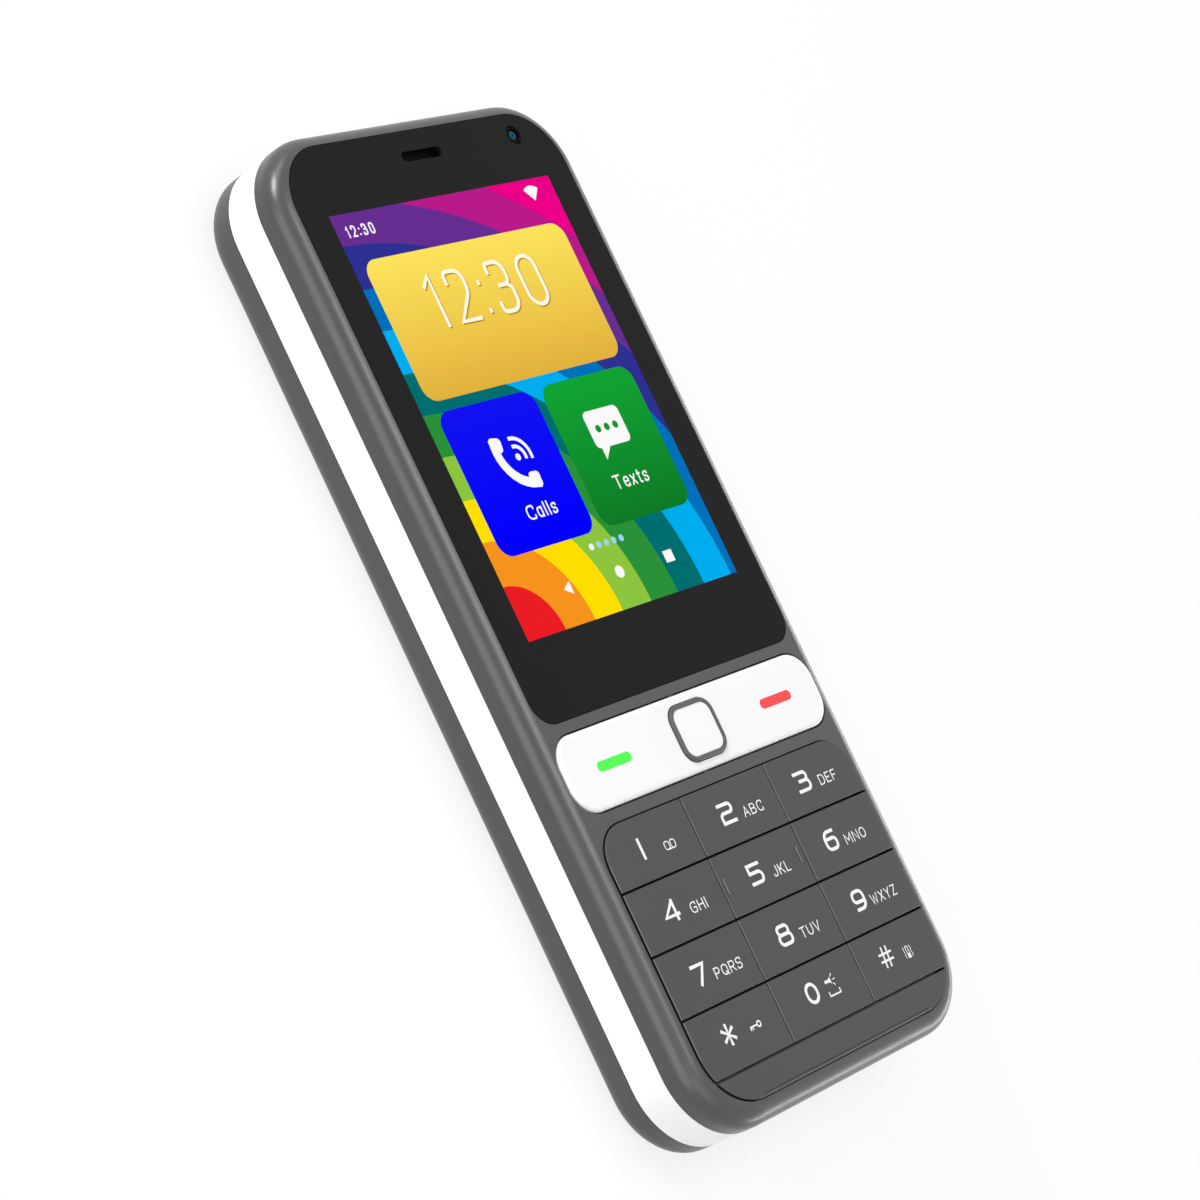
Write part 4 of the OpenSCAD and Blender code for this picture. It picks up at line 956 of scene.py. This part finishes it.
# Marks on the screen, in millimetres of the phone's own frame. A box is left, low, right and high, and a style of
# writing is height, line width and gap.
CLOCK_CARD = (-19.4, 28.93, 19.4, 48.08)
CALLS_TILE = (-19.05, 8.0, -0.65, 27.5)
TEXTS_TILE = (0.9, 8.0, 19.3, 27.56)
CLOCK_TEXT = "12:30"
CLOCK_BASE, CLOCK_GAP = 37.6, 1.85
CLOCK_SHADE = (0.16, -0.2)
STATUS_LEFT, STATUS_BASE, STATUS_STYLE = -19.6, 51.28, (1.57, 0.24, 0.45)
FAN_TIP, FAN_RADIUS, FAN_START, FAN_END = (16.84, 51.43), 2.14, 49, 131
HANDSET_CENTRE, HANDSET_RADIUS, HANDSET_START, HANDSET_END = (-6.89, 20.94), 4.95, 170, 267
HANDSET_PEN, PAD_RADIUS, PAD_DEEP, PAD_WIDE, PAD_ROUND = 1.35, 4.55, 2.1, 1.95, 0.55
WAVE_CENTRE, WAVE_DOT, WAVE_RADII, WAVE_PEN, WAVE_START, WAVE_END = (-8.4, 19.65), 0.46, (1.42, 2.5), 0.5, -8, 92
BUBBLE, BUBBLE_ROUND = (6.4, 17.85, 13.49, 22.92), 0.85
BUBBLE_TAIL = ((7.25, 16.24), (9.3, 18.2), (7.25, 18.2))
BUBBLE_DOTS, BUBBLE_DOT = (8.2, 9.95, 11.7), 0.52
CALLS_WORD, CALLS_MIDDLE, CALLS_BASE = "Calls", -8.65, 11.6
TEXTS_WORD, TEXTS_MIDDLE, TEXTS_BASE = "Texts", 9.9, 12.2
WORD_STYLE = (1.9, 0.24, 0.42)
PAGE_DOTS, PAGE_Y, PAGE_RADIUS = (-3.02, -1.51, 0.0, 1.5, 3.02), 6.27, 0.46
BACK_MARK = ((-9.8, 3.13), (-11.31, 2.25), (-9.8, 1.4))
HOME_MARK, HOME_RADIUS = (-0.1, 2.27), 0.82
TASKS_MARK = (9.2, 1.47, 10.98, 3.03)


class PHONE_OT_screen(bpy.types.Operator):
    """Build the lit picture with its clock card, tiles and marks, and finish the panel behind it"""

    bl_idname = "phone.screen"
    bl_label = "Lit screen"

    def execute(self, context):
        screen = context.scene.phone_screen
        self.layer = millimetres(screen.layer)
        self.lens_low, self.lens_high = node_box("display_lens")
        self.white = lit_plain("lit white", WHITE, MARK_LEVEL)
        dress(plastic("panel glass", "#101014", 0.2), "display_panel")
        dress(plastic("backlight tray", "#e8e8e4", 0.5), "display_backlight")
        self.picture(screen)
        self.clock(screen)
        self.calls(screen)
        self.texts(screen)
        self.marks()
        return {"FINISHED"}

    def depths(self, level):
        """Bottom and top of a layer of the picture. Each starts a little above the one below it."""
        low = self.lens_high.z + self.layer * (LAYER_START + LAYER_STEP * level)
        return low, low + self.layer

    def add(self, name, shells, material):
        """A lit piece on the lens."""
        make_piece(name, shells, material, "handset")

    def picture(self, screen):
        """The picture behind all marks."""
        left = self.lens_low.x + millimetres(screen.side)
        right = self.lens_high.x - millimetres(screen.side)
        low = self.lens_low.y + millimetres(screen.foot)
        high = self.lens_high.y - millimetres(screen.drop)
        box = (left, low, right, high)
        self.add("lit_picture", [slab(corners(*box), *self.depths(0))], lit_picture(*box))

    def tile(self, name, box, top, foot, screen):
        """A card or a tile on the picture, and its material."""
        material = lit_blend(name.replace("_", " "), top, foot, box[3], box[1])
        outline = rounded_box(*box, millimetres(screen.tile_round))
        self.add(name, [slab(outline, *self.depths(1))], material)
        return material

    def clock(self, screen):
        """The clock card and its digits over their shade."""
        self.tile("clock_card", CLOCK_CARD, screen.card_top, screen.card_foot, screen)
        style = (millimetres(screen.clock_height), millimetres(screen.clock_stroke), CLOCK_GAP)
        across, up = CLOCK_SHADE
        shade = written_about(CLOCK_TEXT, CLOCK_DIGITS, across, CLOCK_BASE + up, *style, *self.depths(2))
        self.add("clock_shade", shade, lit_plain("clock shade", "#b98c2c"))
        digits = written_about(CLOCK_TEXT, CLOCK_DIGITS, 0, CLOCK_BASE, *style, *self.depths(3))
        self.add("clock_digits", digits, lit_plain("clock cream", "#fffbe6"))

    def calls(self, screen):
        """The calls tile with its handset, waves and word."""
        self.tile("calls_tile", CALLS_TILE, screen.calls_top, screen.calls_foot, screen)
        depths = self.depths(2)
        handle = arc(HANDSET_CENTRE, HANDSET_RADIUS, HANDSET_START, HANDSET_END)
        shells = [stroke(handle, HANDSET_PEN, *depths)]
        pad = rounded_box(-PAD_DEEP / 2, -PAD_WIDE / 2, PAD_DEEP / 2, PAD_WIDE / 2, PAD_ROUND)
        for degrees in (HANDSET_START, HANDSET_END):
            place = arc(HANDSET_CENTRE, PAD_RADIUS, degrees, degrees)[0]
            shells.append(slab(turned(pad, place, degrees), *depths))
        shells.append(slab(circle(WAVE_CENTRE, WAVE_DOT), *depths))
        shells += [stroke(arc(WAVE_CENTRE, r, WAVE_START, WAVE_END), WAVE_PEN, *depths) for r in WAVE_RADII]
        self.add("calls_icon", shells, self.white)
        word = written_about(CALLS_WORD, LETTERS, CALLS_MIDDLE, CALLS_BASE, *WORD_STYLE, *depths)
        self.add("calls_word", word, self.white)

    def texts(self, screen):
        """The texts tile with its speech bubble and word."""
        green = self.tile("texts_tile", TEXTS_TILE, screen.texts_top, screen.texts_foot, screen)
        depths = self.depths(2)
        bubble = [slab(outline, *depths) for outline in (rounded_box(*BUBBLE, BUBBLE_ROUND), BUBBLE_TAIL)]
        self.add("texts_icon", bubble, self.white)
        middle = (BUBBLE[1] + BUBBLE[3]) / 2
        dots = [slab(circle((x, middle), BUBBLE_DOT), *self.depths(3)) for x in BUBBLE_DOTS]
        self.add("texts_icon_dots", dots, green)
        word = written_about(TEXTS_WORD, LETTERS, TEXTS_MIDDLE, TEXTS_BASE, *WORD_STYLE, *depths)
        self.add("texts_word", word, self.white)

    def marks(self):
        """The small clock, the signal fan, the page dots and the touch keys."""
        depths = self.depths(1)
        status = written(CLOCK_TEXT, CLOCK_DIGITS, STATUS_LEFT, STATUS_BASE, *STATUS_STYLE, *depths)
        self.add("status_clock", status, self.white)
        fan = [Vector(FAN_TIP), *arc(FAN_TIP, FAN_RADIUS, FAN_START, FAN_END)]
        self.add("signal_fan", [slab(fan, *depths)], self.white)
        dots = [slab(circle((x, PAGE_Y), PAGE_RADIUS), *depths) for x in PAGE_DOTS]
        self.add("page_dot_here", dots[:1], self.white)
        self.add("page_dots_other", dots[1:], lit_plain("lit pale", "#9fd4ee"))
        outlines = (BACK_MARK, circle(HOME_MARK, HOME_RADIUS), corners(*TASKS_MARK))
        self.add("touch_keys", [slab(outline, *depths) for outline in outlines], self.white)


class PHONE_OT_rocker_bar(bpy.types.Operator):
    """Finish the white rocker bar with its two inserts, the home pad and its ring"""

    bl_idname = "phone.rocker_bar"
    bl_label = "Rocker bar and home key"

    def execute(self, context):
        finishes = context.scene.phone_finishes
        dress(plastic("bar plastic", finishes.bar_white, 0.3, tone=0.02), "call_end_bar", "home_pad")
        dress(plastic("call insert", finishes.mark_green, 0.35, tone=0.04), "call_mark")
        dress(plastic("end insert", finishes.mark_red, 0.35, tone=0.04), "end_mark")
        dress(plastic("ring plastic", finishes.ring_grey, 0.34), "home_ring")
        softened(finishes.bar_edge, "call_end_bar", "home_pad", "home_ring")
        return {"FINISHED"}


# Height above the keys' faces, in millimetres, from which a wall is a rib's
FACE_ROOM = 0.03
# How much paler the painted highlights make the keys' sideways edges and the ribs' walls
EDGE_HIGHLIGHT_LIFT, RIB_HIGHLIGHT_LIFT = 1.3, 5.0


class PHONE_OT_keys(bpy.types.Operator):
    """Finish the twelve keys, the blank trim and what lies under them"""

    bl_idname = "phone.keys"
    bl_label = "Keys"

    def execute(self, context):
        finishes = context.scene.phone_finishes
        # The middle key's box also holds its ribs, so the height of the faces comes from another key
        face = node_box("key_1")[1].z + FACE_ROOM
        # Painted highlights on the keys' sideways edges and the ribs' walls, and painted shade in the slits
        edge_light_and_shade = {"Lift": EDGE_HIGHLIGHT_LIFT, "Wall_Lift": RIB_HIGHLIGHT_LIFT, "Face_Height": face * MM}
        dress(plastic("key plastic", finishes.key_grey, 0.4, specular=0.3, edge_light_and_shade=edge_light_and_shade), *KEY_NODES, "keypad_trim")
        softened(finishes.key_edge, *KEY_NODES, "keypad_trim")
        dress(plastic("silicone mat", "#0c0c0c", 0.7, grain=2500.0, relief=0.2), "keypad_mat")
        dress(metal("domes", "#c9c5bb", 0.28), "key_domes")
        return {"FINISHED"}


# Prints on the keys, in millimetres from a key's own middle
DIGIT_X = (-1.6, -1.75, -3.0)
LETTER_X = (3.55, 3.25, 1.97)
BASE_DROP = (1.68, 1.32, 1.36, 0.99)
# Room under a print, so that its lower face isn't in the key's own
PRINT_LIFT = 0.004

# The star and the hash, in millimetres from their own middle
STAR_RADIUS, STAR_ANGLES, STAR_WAIST, STAR_END = 1.37, (90, 33, 147), 0.22, 0.44
HASH_PEN, HASH_STEP, HASH_LEAN = 0.28, 0.46, 0.16

# Small signs, in millimetres from their place on the base line. A third number is a corner's radius.
TAPE_REEL, TAPE_STEP, TAPE_PEN = corners(-0.44, 0.07, 0.44, 1.09, 0.34), 0.58, 0.14
LOCK_EYE, LOCK_BOW, LOCK_PEN = (0.72, 0.98), 0.34, 0.2
LOCK_LINES = (((-1.0, 0.98), (0.38, 0.98)), ((-1.0, 0.98), (-1.0, 0.64)), ((-0.6, 0.98), (-0.6, 0.64)))
TORCH_BODY = ((-1.95, 1.65), (-1.1, 1.65), (-0.7, 1.4), (-0.7, 2.3), (-1.1, 2.05), (-1.95, 2.05))
RAY_CENTRE, RAY_ANGLES, RAY_ENDS, RAY_PEN = (-0.85, 1.85), (-48, 0, 48), (0.62, 0.98), 0.13
SPACE_BAR, SPACE_PEN = ((-1.95, 0.5), (-1.95, 0.03), (0.25, 0.03), (0.25, 0.5)), 0.2
QUIET_CASE, QUIET_PEN = ((-0.74, -0.02, 0.1), (-0.26, -0.02, 0.1), (-0.26, 1.5, 0.2), (-0.74, 1.5, 0.2)), 0.13
QUIET_PAD = corners(-0.74, -0.02, -0.26, 0.54)
SHAKE_MIDDLE, SHAKE_REACHES, SHAKE_PEN = -0.5, (0.66, 0.78, 0.66, 0.78, 0.66), 0.1
SHAKE_LOW, SHAKE_STEP = 0.04, 0.35


class PHONE_OT_prints(bpy.types.Operator):
    """Print the digits, letters and signs on the keys"""

    bl_idname = "phone.prints"
    bl_label = "Key prints"

    def execute(self, context):
        prints = context.scene.phone_prints
        ink = plastic("key print", context.scene.phone_finishes.print_white, 0.45, tone=0.02, relief=0.02)
        self.digit_height = millimetres(prints.digit_height)
        self.digit_pen = millimetres(prints.digit_stroke)
        style = [millimetres(v) for v in (prints.letter_height, prints.letter_stroke, prints.letter_gap)]
        face = node_box("key_1")[1].z + PRINT_LIFT
        self.depths = (face, face + millimetres(prints.thickness))
        signs = {"1": self.tape_sign, "star": self.lock_sign, "0": self.torch_sign, "hash": self.quiet_sign}
        for r, row in enumerate(KEY_ROWS):
            for c, name in enumerate(row):
                low, high = node_box(f"key_{name}")
                middle = (low + high) / 2
                base = middle.y - BASE_DROP[r]
                shells = self.digit(name, middle.x + DIGIT_X[c], base)
                beside = middle.x + LETTER_X[c]
                if name in KEY_LETTERS:
                    shells += written_about(KEY_LETTERS[name], LETTERS, beside, base, *style, *self.depths)
                else:
                    shells += signs[name](beside, base)
                make_piece(f"key_{name}_print", shells, ink, f"key_{name}")
        return {"FINISHED"}

    def digit(self, name, middle, base):
        """The large sign on a key."""
        if name == "star":
            return self.star(middle, base + self.digit_height / 2)
        if name == "hash":
            return self.hash(middle, base + self.digit_height / 2)
        return written_about(name, KEY_DIGITS, middle, base, self.digit_height, self.digit_pen, 0, *self.depths)

    def star(self, x, y):
        """Three arms with a waist."""
        waist, end = STAR_WAIST / 2, STAR_END / 2
        arm = [(-STAR_RADIUS, -end), (0, -waist), (STAR_RADIUS, -end), (STAR_RADIUS, end), (0, waist),
               (-STAR_RADIUS, end)]
        return [slab(turned(arm, (x, y), degrees), *self.depths) for degrees in STAR_ANGLES]

    def hash(self, x, y):
        """Two leaning lines across two level ones."""
        reach = (self.digit_height - HASH_PEN) / 2
        shells = []
        for s in (-HASH_STEP, HASH_STEP):
            shells.append(self.line([(x + s - HASH_LEAN, y - reach), (x + s + HASH_LEAN, y + reach)], HASH_PEN))
            shells.append(self.line([(x - reach, y + s), (x + reach, y + s)], HASH_PEN))
        return shells

    def line(self, points, pen, closed=False):
        """A printed line through the points."""
        return stroke(rounded(points, closed), pen, *self.depths, closed)

    def tape_sign(self, x, base):
        """Two reels on a tape."""
        ends, low = (x - TAPE_STEP, x + TAPE_STEP), base + TAPE_PEN / 2
        reels = [self.line(moved(TAPE_REEL, end, base), TAPE_PEN, True) for end in ends]
        return [self.line([(end, low) for end in ends], TAPE_PEN), *reels]

    def lock_sign(self, x, base):
        """A door key lying down."""
        bow = self.line(moved(circle(LOCK_EYE, LOCK_BOW), x, base), LOCK_PEN, True)
        return [bow, *(self.line(moved(line, x, base), LOCK_PEN) for line in LOCK_LINES)]

    def torch_sign(self, x, base):
        """A torch with three rays above a space bar."""
        shells = [slab(moved(TORCH_BODY, x, base), *self.depths)]
        for degrees in RAY_ANGLES:
            ray = [arc(RAY_CENTRE, radius, degrees, degrees)[0] for radius in RAY_ENDS]
            shells.append(self.line(moved(ray, x, base), RAY_PEN))
        return [*shells, self.line(moved(SPACE_BAR, x, base), SPACE_PEN)]

    def quiet_sign(self, x, base):
        """A small phone that shakes."""
        case = self.line(moved(QUIET_CASE, x, base), QUIET_PEN, True)
        shells = [case, slab(moved(QUIET_PAD, x, base), *self.depths)]
        for side in (-1, 1):
            wave = [(SHAKE_MIDDLE + side * reach, SHAKE_LOW + SHAKE_STEP * i) for i, reach in enumerate(SHAKE_REACHES)]
            shells.append(self.line(moved(wave, x, base), SHAKE_PEN))
        return shells


# Each camera's glass: the body that carries it, the side that shows (1 for up, -1 for down), the well's radius as a
# share of the glass's, the well's depth and the dome's height in millimetres, and how strongly the glass mirrors
CAMERA_GLASSES = {
    "front_camera_window": ("handset", 1, 0.8, 0.22, 0.16, 0.06),
    "camera_window": ("back_cover", -1, 0.62, 0.24, 0.16, 0.35),
}
# Bevel at the edges of a glass as a share of its radius, radius of the dome as a share of the well's, and the degrees
# up to which its faces are shaded as one
GLASS_LIP, DOME_SHARE, GLASS_SMOOTH = 0.06, 0.9, 35


class PHONE_OT_cameras(bpy.types.Operator):
    """Build the glass of the two cameras, and finish the camera ring and the torch"""

    bl_idname = "phone.cameras"
    bl_label = "Cameras and torch"

    def execute(self, context):
        for node, values in CAMERA_GLASSES.items():
            self.glass_piece(node, *values)
        dress(plastic("camera module", "#121212", 0.5), "front_camera", "rear_camera")
        dress(metal("camera ring", "#8a8b8f", 0.3, stretch=(6, 6, 1)), "camera_bezel")
        dress(frosted_clear(), "torch_window")
        dress(torch_chip(), "torch_led")
        return {"FINISHED"}

    def glass_piece(self, node, body, way, inner, well, dome, specular):
        """A glass with a flat rim, a stepped well and a domed middle."""
        low, high = node_box(node)
        centre = ((low.x + high.x) / 2, (low.y + high.y) / 2)
        radius = (high.x - low.x) / 2
        face, back = (high.z, low.z) if way > 0 else (low.z, high.z)
        wall, lip = inner * radius, GLASS_LIP * radius
        bulge = [(wall * DOME_SHARE * math.cos(a), face - way * (well - dome * math.sin(a)))
                 for a in (math.pi / 2 * i / ARC_STEPS for i in range(ARC_STEPS + 1))]
        profile = [(0, back), (radius, back), (radius, face - way * lip), (radius - lip, face), (wall + lip, face),
                   (wall, face - way * lip), (wall, face - way * well), *bulge[:-1], (0, bulge[-1][1])]
        if way < 0:
            profile = list(reversed(profile))
        material = camera_glass(node.replace("_", " "), centre, radius, specular)
        piece = make_piece(f"{node}_glass", [lathe(profile, centre)], material, body, GLASS_SMOOTH)
        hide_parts(node)


class PHONE_OT_sockets(bpy.types.Operator):
    """Finish the charging socket, the headphone jack, the microphone and the side switches"""

    bl_idname = "phone.sockets"
    bl_label = "Sockets"

    def execute(self, context):
        dress(metal("socket steel", "#b4b6b8", 0.26), "usb_socket", "microphone")
        dress(plastic("jack body", "#161616", 0.4), "audio_jack", "side_switches")
        return {"FINISHED"}


class PHONE_OT_inside(bpy.types.Operator):
    """Finish the parts inside the handset"""

    bl_idname = "phone.inside"
    bl_label = "Inner parts"

    def execute(self, context):
        dress(solder_mask(), "main_board")
        dress(metal("shield steel", "#c4c4c0", 0.34, stretch=(14, 1, 1)), "shield_cans", "card_holder")
        dress(metal("screw steel", "#5a5a5c", 0.35), "case_screws")
        dress(metal("motor case", "#b9b9bb", 0.22, stretch=(4, 4, 1)), "vibration_motor")
        dress(plastic("battery wrap", "#23262a", 0.45, grain=1500.0, relief=0.06), "battery")
        dress(metal("gilt", "#d8b15c", 0.25), "antenna_strip")
        dress(contact_block(), "battery_contacts")
        dress(plastic("speaker frame", "#191919", 0.45), "loudspeaker")
        dress(plastic("speaker foam", "#202020", 0.9, grain=2200.0, relief=0.5), "speaker_gasket")
        return {"FINISHED"}


# The stage

FLOOR_COLOUR = (0.97, 0.97, 0.97)
# Share of the floor's look that is plain white, which keeps the shadow pale, near the phone and away from it
FLOOR_GLOW, FLOOR_GLOW_FAR = 0.8, 1.0
# Metres from the phone's middle between which the floor turns plain white
FLOOR_FADE = (0.1, 0.34)
# Where each lamp stands: degrees round the phone from its right side, degrees above the floor, distance and size
LAMPS = {
    "overhead": (50, 80, 0.63, (0.28, 0.28)),
    "left_side": (180, 22, 0.78, (0.8, 0.55)),
    "low_left": (-130, 55, 0.7, (0.42, 0.42)),
    "top_left": (117, 22, 0.85, (0.28, 0.18)),
    "top_end": (96, 29, 0.85, (0.55, 0.18)),
    "right_end": (-25, 3, 0.72, (1.1, 0.14)),
}
# Metres from the camera at which it starts to see
CLIP_START = 0.01


def seen_directly(tree):
    """1 where the camera, a reflection or clear glass looks at the background, and 0 for light that falls."""
    path = add_node(tree, "LightPath").outputs
    first = math_of(tree, "MAXIMUM", path["Is Camera Ray"], path["Is Glossy Ray"])
    return math_of(tree, "MAXIMUM", first, path["Is Transmission Ray"])


def heading(turn, rise):
    """The direction at an angle round the phone from its right side and an angle above the floor, in radians."""
    return Vector((math.cos(turn) * math.cos(rise), math.sin(turn) * math.cos(rise), math.sin(rise)))


def set_up(data, place, way, roll=0.0):
    """Puts a lamp or a camera in its place, facing one way."""
    thing = bpy.data.objects.new(data.name, data)
    thing.location = place
    thing.rotation_mode = "QUATERNION"
    thing.rotation_quaternion = way.to_track_quat("-Z", "Y") @ Quaternion((0, 0, 1), roll)
    bpy.context.scene.collection.objects.link(thing)
    return thing


class PHONE_OT_stage(bpy.types.Operator):
    """Set the pale floor, the even world light, the lamps and the camera"""

    bl_idname = "phone.stage"
    bl_label = "Stage"

    def execute(self, context):
        stage = context.scene.phone_stage
        context.scene.view_settings.view_transform = "Standard"
        self.world(context.scene, stage)
        self.floor(stage)
        for name, (turn, rise, distance, size) in LAMPS.items():
            self.lamp(name, heading(math.radians(turn), math.radians(rise)) * distance, size, getattr(stage, name))
        self.camera(context.scene, stage)
        return {"FINISHED"}

    def world(self, scene, stage):
        """Even light from all round, and plain white where the background is seen."""
        world = bpy.data.worlds.new("studio")
        world.use_nodes = True
        tree = world.node_tree
        even = feed_named(tree, tree.nodes["Background"], Color=rgba(WHITE), Strength=stage.ambient)
        white = result(tree, "Background", rgba(WHITE), 1.0)
        mixed = result(tree, "MixShader", seen_directly(tree), even.outputs[0], white)
        feed_named(tree, tree.nodes["World Output"], Surface=mixed)
        scene.world = world

    def floor(self, stage):
        """The floor that the phone lies on."""
        half = stage.floor_size / 2
        mesh = bpy.data.meshes.new("floor")
        mesh.from_pydata(corners(-half, -half, half, half, 0), [], [(0, 1, 2, 3)])
        floor = bpy.data.objects.new("floor", mesh)
        bpy.context.scene.collection.objects.link(floor)
        mesh.materials.append(self.floor_material())

    def floor_material(self):
        """Pale floor that takes a soft shadow, turns white further out, and can be seen through from below."""
        material, tree, shader = new_material("pale floor")
        feed_named(tree, shader, Base_Color=rgba(FLOOR_COLOUR), Roughness=0.8, Specular_IOR_Level=0.0)
        fade = result(
            tree, "MapRange", vector_of(tree, "LENGTH", place_on(tree)), *FLOOR_FADE, FLOOR_GLOW, FLOOR_GLOW_FAR,
            interpolation_type="SMOOTHSTEP",
        )
        share = math_of(tree, "MULTIPLY", seen_directly(tree), fade)
        pale = result(tree, "MixShader", share, shader.outputs[0], result(tree, "Emission"))
        below = add_node(tree, "NewGeometry").outputs["Backfacing"]
        sided = result(tree, "MixShader", below, pale, result(tree, "BsdfTransparent"))
        feed_named(tree, tree.nodes["Material Output"], Surface=sided)
        return material

    def lamp(self, name, place, size, power):
        """A soft lamp that faces the phone."""
        data = bpy.data.lights.new(name, "AREA")
        data.shape = "RECTANGLE"
        data.size, data.size_y = size
        data.energy = power
        set_up(data, place, -place)

    def camera(self, scene, stage):
        """The camera, at its distance from the point it looks at. Its azimuth is counted from the lower end."""
        data = bpy.data.cameras.new("camera")
        data.lens, data.clip_start = stage.lens, CLIP_START
        back = heading(stage.azimuth - math.pi / 2, stage.elevation)
        scene.camera = set_up(data, Vector(stage.aim) + back * stage.distance, -back, stage.roll)


OPERATORS = (
    PHONE_OT_shells, PHONE_OT_lens, PHONE_OT_screen, PHONE_OT_rocker_bar, PHONE_OT_keys, PHONE_OT_prints,
    PHONE_OT_cameras, PHONE_OT_sockets, PHONE_OT_inside, PHONE_OT_stage,
)
SETTINGS = {
    "phone_finishes": PhoneFinishes,
    "phone_prints": PhonePrints,
    "phone_screen": PhoneScreen,
    "phone_stage": PhoneStage,
}


class PHONE_PT_looks(bpy.types.Panel):
    """Lists the phone's settings and the steps that build its looks"""

    bl_idname = "PHONE_PT_looks"
    bl_label = "Phone"
    bl_space_type = "VIEW_3D"
    bl_region_type = "UI"
    bl_category = "Phone"

    def draw(self, context):
        for name, group in SETTINGS.items():
            box = self.layout.box()
            box.label(text=group.__doc__)
            for setting in group.__annotations__:
                box.prop(getattr(context.scene, name), setting)
        for operator in OPERATORS:
            self.layout.operator(operator.bl_idname)


CLASSES = (*SETTINGS.values(), *OPERATORS, PHONE_PT_looks)


def register():
    for cls in CLASSES:
        bpy.utils.register_class(cls)
    for name, group in SETTINGS.items():
        setattr(bpy.types.Scene, name, bpy.props.PointerProperty(type=group))


def unregister():
    for name in SETTINGS:
        delattr(bpy.types.Scene, name)
    for cls in reversed(CLASSES):
        bpy.utils.unregister_class(cls)


def main():
    register()
    bpy.ops.phone.shells()
    bpy.ops.phone.lens()
    bpy.ops.phone.screen()
    bpy.ops.phone.rocker_bar()
    bpy.ops.phone.keys()
    bpy.ops.phone.prints()
    bpy.ops.phone.cameras()
    bpy.ops.phone.sockets()
    bpy.ops.phone.inside()
    bpy.ops.phone.stage()


if __name__ == "__main__":
    main()
